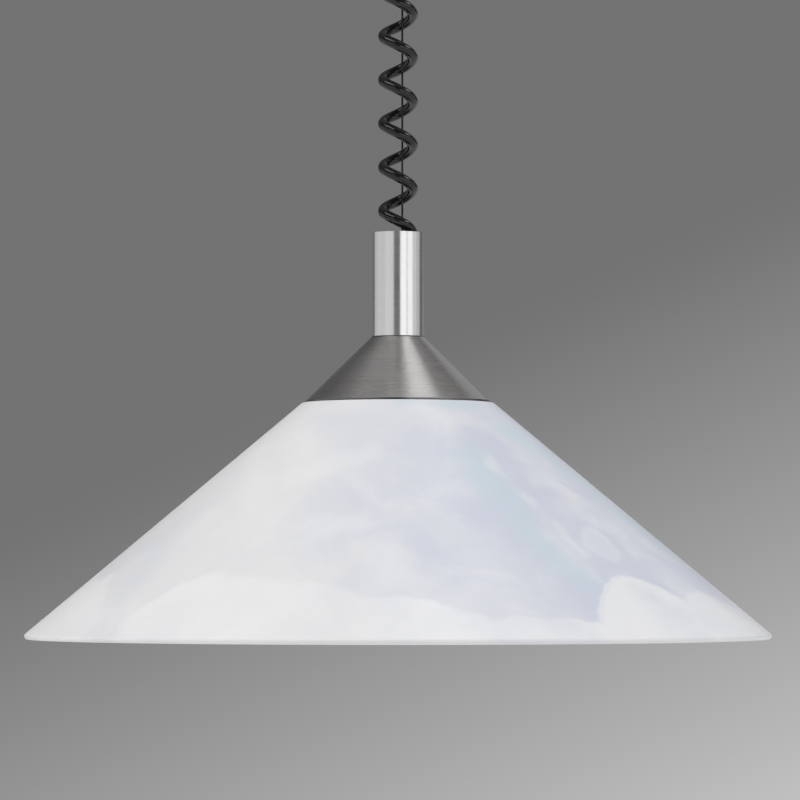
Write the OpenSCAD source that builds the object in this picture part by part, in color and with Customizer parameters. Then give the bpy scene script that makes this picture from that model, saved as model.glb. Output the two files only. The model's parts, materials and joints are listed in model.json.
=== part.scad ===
// Rise and fall pendant: a glass cone lamp that hangs from a spring reel on a thin wire,
// with a curly cord round the wire. Millimetres, +Z up, the ceiling is the plane z = 0.

/* [Glass shade] */
// Outside diameter of the shade at its rim
shade_d = 430; // [380:1:470]
// Outside diameter of the shade at its top edge
shade_top_d = 110.5; // [109:0.5:125]
// Height of the shade
shade_h = 136.3; // [110:0.1:170]
// Thickness of the glass
glass_t = 3.6; // [3:0.1:4.5]
// Rounding of the shade's top edge
shade_edge_r = 3; // [2:0.1:6]

/* [Cap] */
// Diameter of the cap at its base
cap_d = 107; // [98:0.5:107.5]
// Height of the cap
cap_h = 38.1; // [34:0.1:42]
// Wall thickness of the cap
cap_wall = 1; // [0.8:0.1:1.5]
// Height of the straight edge at the cap's base
cap_edge = 0.8; // [0.4:0.1:2]
// Thickness of the gasket between cap and glass
cap_gasket_t = 0.3; // [0.3:0.1:1]
// Width of that gasket
cap_gasket_w = 4; // [2:0.5:6]

/* [Tube] */
// Outside diameter of the tube
tube_d = 30; // [29.6:0.1:33]
// Length of the tube
tube_h = 60; // [56:1:90]
// Wall thickness of the tube
tube_wall = 1.4; // [1:0.1:1.5]
// How deep the top plate sits in the tube
plate_recess = 7.2; // [5:0.1:9]
// Thickness of the top plate
plate_t = 3; // [2:0.1:3.5]
// Thickness of the foot plate
foot_t = 6; // [4:0.5:8]

/* [Cord and wire] */
// Diameter of the cord
cord_d = 6.2; // [5.6:0.1:6.4]
// Diameter of the curls, measured at the middle of the cord
coil_d = 17; // [17:0.1:17.6]
// Height of one curl
coil_pitch = 25.4; // [12:0.1:40]
// Number of curls
curls = 10; // [4:1:20]
// Length of the cord's straight ends
cord_end_l = 5.2; // [5:0.1:6]
// Diameter of the suspension wire
wire_d = 1.2; // [1:0.1:1.4]
// Distance of the wire from the lamp's axis
wire_x = 2.5; // [2.3:0.1:2.6]
// Diameter of one insulated core
core_d = 1.9; // [1.6:0.1:2]

/* [Canopy] */
// Outside diameter of the canopy
canopy_d = 120; // [118:1:140]
// Height of the canopy
canopy_h = 78; // [78:1:100]
// Height of the canopy's straight side
canopy_side_h = 50; // [48:1:56]
// Diameter of the flat at the canopy's bottom
canopy_foot_d = 36; // [34:1:44]
// Wall thickness of the canopy
canopy_wall = 1.2; // [0.8:0.1:1.2]
// Rounding between the canopy's side and its cone
canopy_edge_r = 9; // [4:1:14]
// Gap between the canopy and the ceiling
canopy_gap = 0.5; // [0.3:0.1:2]

/* [Ceiling bracket] */
// Width of the strap
strap_w = 22; // [18:1:24]
// Thickness of the strap
strap_t = 1.6; // [1.2:0.1:2]
// Distance between the middles of the two slots
slot_spacing = 84; // [80:1:86]
// Length of each slot from end to end
slot_l = 12; // [8:1:12]
// Width of each slot
slot_w = 5.2; // [4.2:0.1:6]
// Width of the bent tabs
tab_w = 14; // [10:1:14]
// Height of the bent tabs
tab_h = 16; // [14:1:20]

/* [Reel] */
// Distance of the axle below the ceiling
reel_drop = 36; // [36:0.5:38]
// Diameter of the drum where the wire lies
drum_core_d = 40; // [38:1:41]
// Diameter of the drum's flanges
drum_flange_d = 52; // [50:1:53]
// Thickness of the drum's flanges
flange_t = 1.5; // [1.2:0.1:2]
// Width of the groove for the wire
groove_w = 10; // [10:0.5:11]
// Depth of the spring cup
cup_depth = 12; // [10:0.5:13]
// Wall thickness of the spring cup
cup_wall = 3; // [2.8:0.1:3.4]
// Diameter of the axle
axle_d = 8; // [7:0.5:9]
// Wall thickness of the drum's bushes
bush_wall = 1.45; // [1.2:0.05:2]
// Thickness of the sheet that the frame is folded from
frame_t = 1.6; // [1.4:0.1:2]
// Width of the frame
frame_w = 32; // [30:1:34]
// Turns of wire on the drum
wire_turns = 2.5; // [1.5:0.5:2.5]
// Turns of the mainspring
spring_turns = 6; // [4:1:7]
// Thickness of the mainspring's strip
strip_t = 0.5; // [0.3:0.1:0.8]

/* [Brake] */
// Diameter of the brake screw
brake_screw_d = 4; // [3.5:0.5:4]
// Length of the brake spring
brake_spring_l = 5; // [4.5:0.1:5.5]
// Diameter of the brake spring's wire
brake_wire_d = 0.7; // [0.5:0.1:0.8]
// Width of the brake pad
pad_w = 8; // [8:0.5:10]
// Thickness of the brake pad
pad_t = 2; // [1.5:0.1:2.5]

/* [Lampholder] */
// Inside diameter of the screw shell
socket_d = 26.8; // [26.6:0.1:27]
// Outside diameter of the lampholder's body
holder_d = 40; // [39:0.5:41]
// Height of the lampholder's body
holder_h = 42; // [38:1:50]
// Height of the screw shell
socket_h = 22; // [18:1:24]
// Height of the lampholder's cap
holder_cap_h = 17; // [16:0.5:18]
// Diameter of the hollow nipple
nipple_d = 10; // [10:0.5:11]
// Bore of the nipple
nipple_bore = 7; // [6:0.1:7.5]
// Diameter of the shade ring
ring_d = 58; // [52:1:70]
// Height of the shade ring
ring_h = 6; // [4:0.5:8]

/* [Terminal block] */
// Length of the block along the leads
block_l = 17; // [16:0.5:18]
// Height of the block
block_h = 14; // [12:0.5:14]
// Distance between two poles
pole_gap = 8; // [7.5:0.5:8]

/* [Hidden] */
$fn = 64;

// Clearances
fit = 0.05; // radial clearance of pieces that stay put
run_fit = 0.05; // radial clearance of the drum on its axle
free_fit = 0.2; // radial clearance of a screw in a plain hole
cord_fit = 0.1; // radial clearance of the cord in its bushes and clamps
wire_fit = 0.2; // radial clearance of the wire in its eyelet
air = 0.3; // gap between moving pieces
over = 1; // how far a cut runs past a face

// Colours
nickel = "#b9b6b2";
steel = "#a9abad";
zinc = "#c6c7c4";
cast_zinc = "#8f9294";
blued_steel = "#5f6670";
dark_wire = "#4a4b4d";
brass = "#c9a24a";
felt = "#6b4a33";
black_plastic = "#1b1b1c";
white_plastic = "#e9e7e1";
dark_gasket = "#3a3a3b";
pale_gasket = "#d8d4cb";
glass_white = "#e6e8ea";
live_brown = "#6b4328";
neutral_blue = "#2a5fa5";
earth_green = "#7fae3a";

// Screws: shank, head and the slot in it
m4_r = 2;
m4_head_r = 3.5;
m4_head_h = 2.4;
m3_r = 1.5;
m3_head_r = 2.6;
m3_head_h = 1.8;
driver_slot_w = 0.8;
screw_end = 1.5; // how far a screw stands out of the piece it is screwed into
screw_short = 0.1; // how far a screw stays back from a face it must not pass

// Ceiling bracket
canopy_r = canopy_d / 2;
canopy_in_r = canopy_r - canopy_wall;
tab_gap = 0.4;
tab_out_x = sqrt(pow(canopy_in_r, 2) - pow(tab_w / 2, 2)) - tab_gap;
tab_screw_drop = 7.4;
tab_screw_z = -strap_t - tab_screw_drop;
relief_l = 2;
relief_side = 1;
bracket_earth_x = 4.2;

// Canopy and its outlet
canopy_top_z = -canopy_gap;
canopy_bottom_z = canopy_top_z - canopy_h;
canopy_turn = atan2(canopy_h - canopy_side_h, canopy_r - canopy_foot_d / 2);
canopy_bend = 90 - canopy_turn;
outlet_r = 13;
bush_lip_w = 2.5;
bush_lip_t = 1.5;
bush_in_h = 6;
bush_z = canopy_bottom_z - bush_lip_t;
outlet_nut_wall = 4.6;
outlet_nut_h = 3;
eyelet_wall = 0.7;
eyelet_lip_w = 0.3;
eyelet_lip_t = 0.6;

// Curly cord: straight end, eased start, curls, eased end, straight end
cord_r = cord_d / 2;
wire_r = wire_d / 2;
coil_r = coil_d / 2;
cord_sides = 6;
rings_per_curl = 8;
ease_turn = 60;
ease_rings = 3;
ease_rate = 2 * ease_turn * coil_pitch / 360;
ease_extra = 4;
ease_drop = ease_rate + ease_extra / 2;
coil_top_z = bush_z - cord_end_l;
helix_turn = 360 * curls - 2 * ease_turn;
helix_drop = helix_turn * coil_pitch / 360;
helix_rings = round(rings_per_curl * helix_turn / 360);
coil_bottom_z = coil_top_z - helix_drop - 2 * ease_drop;
cord_end_z = coil_bottom_z - cord_end_l;

// Lamp levels
bush_flange_t = 1;
tube_top_z = coil_bottom_z + plate_recess - bush_flange_t;
plate_top_z = tube_top_z - plate_recess;
plate_bottom_z = plate_top_z - plate_t;
tube_bottom_z = tube_top_z - tube_h;
foot_top_z = tube_bottom_z + foot_t;
cap_base_z = tube_bottom_z - cap_h;
glass_top_z = cap_base_z - cap_gasket_t;
glass_bottom_z = glass_top_z - shade_h;
tube_r = tube_d / 2;
tube_in_r = tube_r - tube_wall;

// Reel, from the front cheek to the back cheek
axle_r = axle_d / 2;
axle_flat_x = axle_r * 0.75;
axle_end = 1;
wind_gap = 0.2;
wind_r = drum_core_d / 2 + wire_r + wind_gap;
wire_step = wire_d + 0.48;
axle_x = wire_x - wind_r;
axle_z = -reel_drop;
drum_r = drum_flange_d / 2;
drum_front_y = -groove_w / 2 - flange_t;
cup_web_y = groove_w / 2 + flange_t;
cup_rim_y = cup_web_y + cup_depth;
cover_t = 1;
cover_screw_d = 1.6;
cover_screw_l = 5;
cover_screw_r = drum_r - cup_wall / 2;
cover_head_r = 1.4;
cover_head_h = 0.8;
hub_r = 7;
drum_bore_r = axle_r + run_fit + bush_wall;
drum_bush_l = 10;
arbor_r = axle_r + 2;
spring_side = 1;
spring_in_r = arbor_r + air;
spring_out_r = drum_r - cup_wall - strip_t - air;
brake_plate_t = 1.5;
brake_nut_t = 3;
brake_gap = 2;
brake_pad_y = drum_front_y - air - pad_t;
brake_plate_y = brake_pad_y - brake_plate_t;
brake_spring_y = brake_plate_y - brake_spring_l;
brake_nut_y = brake_spring_y - brake_nut_t;
front_cheek_y = brake_nut_y - brake_gap;
cover_gap = 1.5;
back_cheek_y = cup_rim_y + cover_t + cover_gap;
cheek_below = 22; // from the axle down to the cheeks' lower edge
cheek_bottom_z = axle_z - cheek_below;
frame_top_z = -strap_t;
frame_screw_inset = 6;
frame_screw_x = frame_w / 2 - frame_screw_inset;
clip_t = 0.8;
clip_r = 7;
clip_mouth = 3;
hub_front_y = front_cheek_y + air;

// Brake, on an axis below the axle
brake_drop = 15;
brake_z = axle_z - brake_drop;
brake_screw_r = brake_screw_d / 2;
brake_head_r = 4;
brake_head_h = 3;
brake_slot_w = 1;
brake_slot_h = 1.2;
brake_head_y = front_cheek_y - frame_t - air - brake_head_h;
brake_collar_w = 1;
brake_collar_t = 0.8;
brake_coils = 3;
brake_spring_gap = 0.4;
brake_spring_r = brake_screw_r + brake_spring_gap + brake_wire_d / 2;
brake_rest = 0.05; // gap between the spring's ends and what they press on
pad_h = 12;
lug_t = 1.5;
lug_end = 1;

// Cord clamps: a block round the cord, longer on the side of its screw
clamp_near = 3.9;
clamp_far = 7.9;
clamp_w = 8.8;
clamp_h = 6;
clamp_slit = 1;
clamp_screw_x = 5.6;
clamp_screw_short = 0.5;
upper_clamp_z = bush_z + bush_lip_t + bush_in_h;

// Lower fittings
bush_spigot_r = cord_r + 0.7;
bush_flange_r = cord_r + 1.5;
gripper_r = 2;
gripper_l = 10;
gripper_screw_r = 1;
gripper_screw_out = 1;
gripper_screw_z = [0.3, 0.7] * gripper_l;
wire_end_z = plate_bottom_z - gripper_l + 1;
wire_start_z = axle_z - 0.4;
rod_x = -3;
rod_y = 9;
rod_end = 1;
lower_clamp_z = plate_bottom_z - gripper_l - clamp_h;
nipple_r = nipple_d / 2;
nut_side = 2; // from the nipple to the flats of its nuts
nut_h = 4;
nipple_end = 2;
nipple_top_z = foot_top_z + nut_h + nipple_end;
cap_top_t = 1.2;
earth_x = 10.9;
earth_screw_end = 0.4;
tag_r = 2.5;
tag_t = 0.8;

// Lampholder
holder_r = holder_d / 2;
holder_flange_t = 2.4;
holder_flange_r = holder_r + 3;
holder_edge = 1;
gasket_t = 0.5;
holder_top_z = glass_top_z + gasket_t + holder_flange_t;
holder_bottom_z = holder_top_z - holder_h;
holder_wall = 2.6;
holder_in_r = holder_r - holder_wall;
shell_t = 0.7;
shell_r = socket_d / 2 + shell_t;
insert_web_t = 12;
insert_web_z = holder_top_z - insert_web_t;
contact_room = 4; // from the insert's web down to the screw shell
socket_top_z = insert_web_z - contact_room;
socket_bottom_z = socket_top_z - socket_h;
holder_cap_top_z = holder_top_z + holder_cap_h;
holder_cap_r = holder_r - 1;
collar_r = nipple_r + 3;
collar_h = 7;
collar_out = 4;
shoulder_r = 6;
shoulder_drop = 10.5; // from the top of the collar down to the end of the shoulder
nipple_bottom_z = holder_cap_top_z - collar_h;
glass_hole_r = holder_r + 1.2;
ring_z = glass_top_z - glass_t - gasket_t - ring_h;
ring_grips = 24;
ring_grip_r = 2.2;
ring_grip_depth = 1;
cap_gasket_inset = 0.4;

// Contacts of the lampholder
terminal_x = 0;
terminal_y = 7;
terminal_l = 5;
terminal_w = 4;
terminal_h = 3;
stem_r = 1.5;
contact_t = 0.8;
contact_w = 3;
contact_r = 3;
contact_h = 2.6;
tongue_y = sqrt(pow(shell_r, 2) - pow(terminal_x + contact_w / 2, 2));

// Terminal block under the strap
block_x = 10;
block_w = 3 * pole_gap;
block_z = -strap_t - block_h;
lead_z = -strap_t - block_h / 2;
lead_hole_r = 1.3;
block_end_x = block_x + block_l;
block_mid_x = block_x + block_l / 2;
pole_screw_r = 1.75;
pole_screw_sink = 1.2;
pole_screw_slot = 0.6;

// Points of an arc round c from angle a0 to a1
function arc(c, r, a0, a1, n = 8) =
    [for (i = [0:n]) c + r * [cos(a0 + (a1 - a0) * i / n), sin(a0 + (a1 - a0) * i / n)]];

function unit(v) = v / norm(v);

// Sum of the steps between a route's points
function length_of(p, i = 1) = i < len(p) ? norm(p[i] - p[i - 1]) + length_of(p, i + 1) : 0;

// Smooth curve through hand-chosen points, n steps between two points
function smooth(p, n = 4) = let (last = len(p) - 1) concat(
    [for (i = [0:last - 1], s = [0:n - 1])
        let (a = p[max(i - 1, 0)], b = p[i], c = p[i + 1], d = p[min(i + 2, last)], t = s / n)
        0.5 * (2 * b + (c - a) * t + (2 * a - 5 * b + 4 * c - d) * t * t
            + (3 * b - a - 3 * c + d) * t * t * t)],
    [p[last]]);

// Direction of a route at point i
function heading(p, i) = unit(p[min(i + 1, len(p) - 1)] - p[max(i - 1, 0)]);

// Corners of a tube with the given sides along a route; side is square to the route at each point
function tube_corners(p, r, sides, side) = [
    for (i = [0:len(p) - 1])
        let (t = heading(p, i), s = unit(side[i] - (side[i] * t) * t), b = cross(t, s))
        for (k = [0:sides - 1]) p[i] + r * (cos(360 * k / sides) * s + sin(360 * k / sides) * b)];

// Faces of that tube and of its two ends
function tube_faces(rings, sides) = concat(
    [for (k = [1:sides - 2]) [0, k, k + 1]],
    [for (i = [0:rings - 2], k = [0:sides - 1], h = [0, 1])
        let (a = i * sides + k, b = i * sides + (k + 1) % sides, c = a + sides, d = b + sides)
        h == 0 ? [a, c, b] : [b, c, d]],
    [for (k = [1:sides - 2]) let (e = (rings - 1) * sides) [e, e + k + 1, e + k]]);

// Curly cord: angle and height of each ring
function eased(v) = [ease_turn * v * v, (ease_rate + ease_extra) * v - ease_extra * v * v / 2];
cord_stations = concat(
    [[0, bush_z]],
    [for (i = [0:ease_rings - 1]) let (e = eased(i / ease_rings)) [e[0], coil_top_z - e[1]]],
    [for (i = [0:helix_rings]) let (s = i / helix_rings)
        [ease_turn + helix_turn * s, coil_top_z - ease_drop - helix_drop * s]],
    [for (i = [ease_rings - 1:-1:0]) let (e = eased(i / ease_rings))
        [360 * curls - e[0], coil_bottom_z + e[1]]],
    [[360 * curls, cord_end_z]]);
cord_points = [for (s = cord_stations) [coil_r * cos(s[0]), coil_r * sin(s[0]), s[1]]];
cord_sides_out = [for (s = cord_stations) [cos(s[0]), sin(s[0]), 0]];
cord_gap = min([for (i = [0:len(cord_points) - 1], j = [i + 4:1:len(cord_points) - 1])
    norm(cord_points[i] - cord_points[j])]) - cord_d;
echo(least_gap_of_the_cord_mm = cord_gap, cord_length_mm = length_of(cord_points));

// Wire on the drum, a helix about the axle
wind_rings = round(24 * wire_turns);
wind_angles = [for (i = [0:wind_rings]) 360 * wire_turns * i / wind_rings];
wind_points = [for (a = wind_angles)
    [axle_x + wind_r * cos(a), wire_step * a / 360, axle_z + wind_r * sin(a)]];
wind_sides_out = [for (a = wind_angles) [cos(a), 0, sin(a)]];
winding_gap = min([for (i = [0:len(wind_points) - 1], j = [i + 12:1:len(wind_points) - 1])
    norm(wind_points[i] - wind_points[j])]) - wire_d;
echo(least_gap_of_the_winding_mm = winding_gap);

// Brake spring, a helix about the brake screw
brake_rings = rings_per_curl * brake_coils;
brake_coil_y = brake_spring_y + brake_rest + brake_wire_d / 2;
brake_coil_l = brake_spring_l - brake_wire_d - 2 * brake_rest;
brake_angles = [for (i = [0:brake_rings]) 360 * brake_coils * i / brake_rings];
brake_points = [for (i = [0:brake_rings])
    [axle_x + brake_spring_r * cos(brake_angles[i]), brake_coil_y + brake_coil_l * i / brake_rings,
        brake_z + brake_spring_r * sin(brake_angles[i])]];
brake_gap_least = min([for (i = [0:brake_rings], j = [i + 5:1:brake_rings])
    norm(brake_points[i] - brake_points[j])]) - brake_wire_d;
echo(least_gap_of_the_brake_spring_mm = brake_gap_least);

// Routes of the cord and its cores inside canopy and tube
upper_split = [33, 0, -28];
upper_tail_route = [[coil_r, 0, bush_z], [coil_r, 0, -72], [coil_r, 0, -64], [coil_r, 0, -60],
    [12, 0, -53], [19, 0, -47], [27, 0, -42], [32.3, 0, -37], [33, 0, -32], upper_split];
core_places = [[-0.65, -1.13, 0], [-0.65, 1.13, 0], [1.3, 0, 0]];
core_gap = [0, 0, 0.25];
lower_tail_l = 18; // how far the lower tail ends above the foot
lower_split = [coil_r, 0, foot_top_z + lower_tail_l];
lower_tail_route = [[coil_r, 0, cord_end_z], [coil_r, 0, lower_clamp_z + clamp_h],
    [coil_r, 0, lower_clamp_z], lower_split];

module tube_along(p, r, sides, side) {
    polyhedron(tube_corners(p, r, sides, side), tube_faces(len(p), sides));
}

// A tube along a route that never runs along Y
module lead_along(p, r, sides = 8) {
    tube_along(p, r, sides, [for (i = [0:len(p) - 1]) [0, 1, 0]]);
}

// The axle's own frame, with z along +Y from y
module at_axle(y) {
    translate([axle_x, y, axle_z]) rotate([-90, 0, 0]) children();
}

module at_brake(y) {
    translate([axle_x, y, brake_z]) rotate([-90, 0, 0]) children();
}

// A round cut through a plate that lies from z = 0 to z = h
module hole(r, h) {
    translate([0, 0, -over]) cylinder(r = r, h = h + 2 * over);
}

module ring(r_out, r_in, h) {
    difference() {
        cylinder(r = r_out, h = h);
        hole(r_in, h);
    }
}

// A screw with its head up at z = 0 and its shank downwards
module pan_screw(r, length, head_r, head_h) {
    difference() {
        union() {
            cylinder(r = head_r, h = head_h);
            translate([0, 0, -length]) cylinder(r = r, h = length);
        }
        translate([-head_r, -driver_slot_w / 2, head_h / 2]) cube([2 * head_r, driver_slot_w, head_h]);
    }
}

module m4_screw(length) {
    pan_screw(m4_r, length, m4_head_r, m4_head_h);
}

module m3_screw(length) {
    pan_screw(m3_r, length, m3_head_r, m3_head_h);
}

module slot_hole(length, width, depth) {
    for (side = [-1, 1]) translate([side * (length - width) / 2, 0, 0]) hole(width / 2, depth);
    translate([-(length - width) / 2, -width / 2, -over])
        cube([length - width, width, depth + 2 * over]);
}

module ceiling_bracket() color(steel) difference() {
    union() {
        translate([-tab_out_x, -strap_w / 2, -strap_t]) cube([2 * tab_out_x, strap_w, strap_t]);
        for (side = [-1, 1])
            translate([side * (tab_out_x - strap_t / 2) - strap_t / 2, -tab_w / 2, -strap_t - tab_h])
                cube([strap_t, tab_w, tab_h + strap_t / 2]);
    }
    for (side = [-1, 1]) {
        translate([side * slot_spacing / 2, 0, -strap_t]) slot_hole(slot_l, slot_w, strap_t);
        translate([side * tab_out_x, 0, tab_screw_z]) rotate([0, 90, 0])
            cylinder(r = m4_r + fit, h = 4 * strap_t, center = true);
        translate([axle_x + side * frame_screw_x, 0, -strap_t]) hole(m4_r + fit, strap_t);
        for (end = [0, 1]) mirror([0, end, 0])
            translate([side * tab_out_x - relief_l, tab_w / 2 + relief_side, -strap_t - over])
                cube([2 * relief_l, strap_w, strap_t + 2 * over]);
    }
    translate([bracket_earth_x, 0, -strap_t]) hole(m4_r + fit, strap_t);
    translate([block_mid_x, pole_gap / 2, -strap_t]) hole(m3_r + fit, strap_t);
}

module bracket_earth_screw() color(brass)
    translate([bracket_earth_x, 0, -strap_t]) rotate([180, 0, 0]) m4_screw(strap_t - screw_short);

// Outline of the canopy, moved in by inset
function canopy_profile(inset) = let (
        knee = [canopy_r, canopy_top_z - canopy_side_h],
        centre = knee + [-canopy_edge_r, canopy_edge_r * tan(canopy_bend / 2)],
        low_r = canopy_foot_d / 2 - inset * tan(canopy_turn / 2))
    concat([[canopy_r - inset, canopy_top_z]], arc(centre, canopy_edge_r - inset, 0, -canopy_bend),
        [[low_r, canopy_bottom_z + inset]]);

module canopy() color(nickel) difference() {
    rotate_extrude($fn = 128)
        polygon(concat(canopy_profile(0), [[0, canopy_bottom_z], [0, canopy_top_z]]));
    rotate_extrude($fn = 128)
        polygon(concat([[canopy_in_r, canopy_top_z + over]], canopy_profile(canopy_wall),
            [[0, canopy_bottom_z + canopy_wall], [0, canopy_top_z + over]]));
    translate([0, 0, canopy_bottom_z]) hole(outlet_r, canopy_wall);
    translate([0, 0, tab_screw_z]) rotate([0, 90, 0])
        cylinder(r = m4_r + free_fit, h = canopy_d + 2 * over, center = true);
}

module canopy_screws() color(nickel)
    for (side = [0, 180]) rotate([0, 0, side]) translate([canopy_r, 0, tab_screw_z]) rotate([0, 90, 0])
        m4_screw(canopy_r - tab_out_x + strap_t + screw_end);

module frame_cheek(y) {
    translate([axle_x - frame_w / 2, y, cheek_bottom_z])
        cube([frame_w, frame_t, frame_top_z - cheek_bottom_z]);
}

// Folded yoke; the lugs on its front cheek guide the brake's nut, plate and pad
module reel_frame() color(steel) difference() {
    union() {
        translate([axle_x - frame_w / 2, front_cheek_y - frame_t, frame_top_z - frame_t])
            cube([frame_w, back_cheek_y - front_cheek_y + 2 * frame_t, frame_t]);
        frame_cheek(front_cheek_y - frame_t);
        frame_cheek(back_cheek_y);
        for (side = [-1, 1])
            translate([axle_x + side * (pad_w / 2 + air + lug_t / 2) - lug_t / 2, front_cheek_y - frame_t / 2,
                brake_z - pad_h / 2])
                cube([lug_t, brake_plate_y - front_cheek_y + frame_t / 2 + lug_end, pad_h]);
    }
    at_axle(front_cheek_y - frame_t) hole(axle_r + fit, frame_t);
    at_axle(back_cheek_y) intersection() {
        hole(axle_r + fit, frame_t);
        translate([-axle_d, -axle_d, -over])
            cube([axle_d + axle_flat_x + fit, 2 * axle_d, frame_t + 2 * over]);
    }
    at_brake(front_cheek_y - frame_t) hole(brake_screw_r + run_fit, frame_t);
    for (side = [-1, 1])
        translate([axle_x + side * frame_screw_x, 0, frame_top_z - frame_t]) hole(m4_r + free_fit, frame_t);
}

module reel_frame_screws() color(zinc)
    for (side = [-1, 1])
        translate([axle_x + side * frame_screw_x, 0, frame_top_z - frame_t]) rotate([180, 0, 0])
            m4_screw(frame_t + strap_t - screw_short);

// Axle with a flat in the back cheek, and the arbor that the mainspring winds on
module reel_axle() color(steel) difference() {
    union() {
        at_axle(front_cheek_y - frame_t - clip_t - axle_end)
            cylinder(r = axle_r, h = back_cheek_y - front_cheek_y + 2 * (frame_t + clip_t + axle_end));
        at_axle(cup_web_y + air) cylinder(r = arbor_r, h = cup_depth - 2 * air);
    }
    at_axle(back_cheek_y - air) translate([axle_flat_x, -axle_d, 0])
        cube([axle_d, 2 * axle_d, frame_t + clip_t + axle_end + 2 * over]);
}

module axle_clip() {
    difference() {
        ring(clip_r, axle_r + fit, clip_t);
        translate([-clip_mouth / 2, 0, -over]) cube([clip_mouth, clip_r + over, clip_t + 2 * over]);
    }
}

module axle_clips() color(zinc) {
    at_axle(front_cheek_y - frame_t - clip_t) axle_clip();
    at_axle(back_cheek_y + frame_t) axle_clip();
}

module at_cover_screws(y) {
    for (a = [30, 150, 270]) at_axle(y) rotate([0, 0, a]) translate([cover_screw_r, 0, 0]) children();
}

module wire_drum() color(cast_zinc) difference() {
    at_axle(0) rotate_extrude($fn = 96) polygon([
        [drum_bore_r, hub_front_y], [hub_r, hub_front_y], [hub_r, drum_front_y],
        [drum_r, drum_front_y], [drum_r, drum_front_y + flange_t],
        [drum_core_d / 2, drum_front_y + flange_t], [drum_core_d / 2, cup_web_y - flange_t],
        [drum_r, cup_web_y - flange_t], [drum_r, cup_rim_y],
        [drum_r - cup_wall, cup_rim_y], [drum_r - cup_wall, cup_web_y],
        [drum_bore_r, cup_web_y]]);
    at_cover_screws(cup_rim_y) rotate([180, 0, 0]) translate([0, 0, -over])
        cylinder(d = cover_screw_d + 2 * fit, h = over + cover_screw_l, $fn = 24);
}

module drum_bushes() color(brass) {
    at_axle(hub_front_y) ring(drum_bore_r, axle_r + run_fit, drum_bush_l);
    at_axle(cup_web_y - drum_bush_l) ring(drum_bore_r, axle_r + run_fit, drum_bush_l);
}

// One side of the mainspring's strip, r_add out from its inner side
function spiral(r_add) = [for (i = [0:20 * spring_turns])
    let (s = i / (20 * spring_turns), a = 360 * spring_turns * s,
        r = spring_in_r + (spring_out_r - spring_in_r) * s + r_add)
    [r * cos(a), r * sin(a)]];
function backwards(p) = [for (i = [len(p) - 1:-1:0]) p[i]];

module mainspring() color(blued_steel)
    at_axle(cup_web_y + spring_side) linear_extrude(cup_depth - 2 * spring_side)
        polygon(concat(spiral(0), backwards(spiral(strip_t))));

module spring_cover() color(steel) difference() {
    at_axle(cup_rim_y) ring(drum_r, axle_r + run_fit, cover_t);
    at_cover_screws(cup_rim_y) hole(cover_screw_d / 2 + fit, cover_t, $fn = 24);
}

module cover_screws() color(zinc)
    at_cover_screws(cup_rim_y + cover_t)
        pan_screw(cover_screw_d / 2, cover_screw_l, cover_head_r, cover_head_h, $fn = 24);

module wire_winding() color(steel) tube_along(wind_points, wire_r, 6, wind_sides_out);

module brake_pad() color(felt)
    translate([axle_x - pad_w / 2, brake_pad_y, brake_z - pad_h / 2]) cube([pad_w, pad_t, pad_h]);

module brake_plate() color(steel)
    translate([axle_x - pad_w / 2, brake_plate_y, brake_z - pad_h / 2])
        cube([pad_w, brake_plate_t, pad_h]);

module brake_spring() color(zinc)
    tube_along(brake_points, brake_wire_d / 2, cord_sides, [for (a = brake_angles) [cos(a), 0, sin(a)]]);

module brake_nut() color(brass) difference() {
    translate([axle_x - pad_w / 2, brake_nut_y, brake_z - pad_w / 2])
        cube([pad_w, brake_nut_t, pad_w]);
    at_brake(brake_nut_y) hole(brake_screw_r + run_fit, brake_nut_t);
}

// Screw with its slotted head in front of the yoke and a collar behind the cheek
module brake_screw() color(zinc) difference() {
    union() {
        at_brake(brake_head_y) cylinder(r = brake_head_r, h = brake_head_h);
        at_brake(brake_head_y) cylinder(r = brake_screw_r, h = brake_plate_y - air - brake_head_y);
        at_brake(front_cheek_y + air) cylinder(r = brake_screw_r + brake_collar_w, h = brake_collar_t);
    }
    translate([axle_x - brake_head_r - over, brake_head_y - over, brake_z - brake_slot_w / 2])
        cube([2 * (brake_head_r + over), over + brake_slot_h, brake_slot_w]);
}

// Holes for the cord and for the wire in a plate that lies from z = 0 to z = h
module cord_and_wire_holes(cord_hole_r, wire_hole_r, h) {
    translate([coil_r, 0, 0]) hole(cord_hole_r, h);
    translate([wire_x, 0, 0]) hole(wire_hole_r, h);
}

module outlet_bush() color(black_plastic) translate([0, 0, bush_z]) difference() {
    union() {
        cylinder(r = outlet_r + bush_lip_w, h = bush_lip_t);
        cylinder(r = outlet_r - fit, h = bush_lip_t + bush_in_h);
    }
    cord_and_wire_holes(cord_r + cord_fit, wire_r + wire_fit + eyelet_wall + fit, bush_lip_t + bush_in_h);
}

module outlet_nut() color(black_plastic) translate([0, 0, canopy_bottom_z + canopy_wall]) difference() {
    rotate([0, 0, 30]) cylinder(r = outlet_r + outlet_nut_wall, h = outlet_nut_h, $fn = 6);
    hole(outlet_r + fit, outlet_nut_h);
}

module wire_eyelet() color(brass) translate([wire_x, 0, bush_z - eyelet_lip_t]) difference() {
    union() {
        cylinder(r = wire_r + wire_fit + eyelet_wall + eyelet_lip_w, h = eyelet_lip_t);
        cylinder(r = wire_r + wire_fit + eyelet_wall, h = eyelet_lip_t + bush_lip_t + bush_in_h);
    }
    hole(wire_r + wire_fit, eyelet_lip_t + bush_lip_t + bush_in_h);
}

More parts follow.
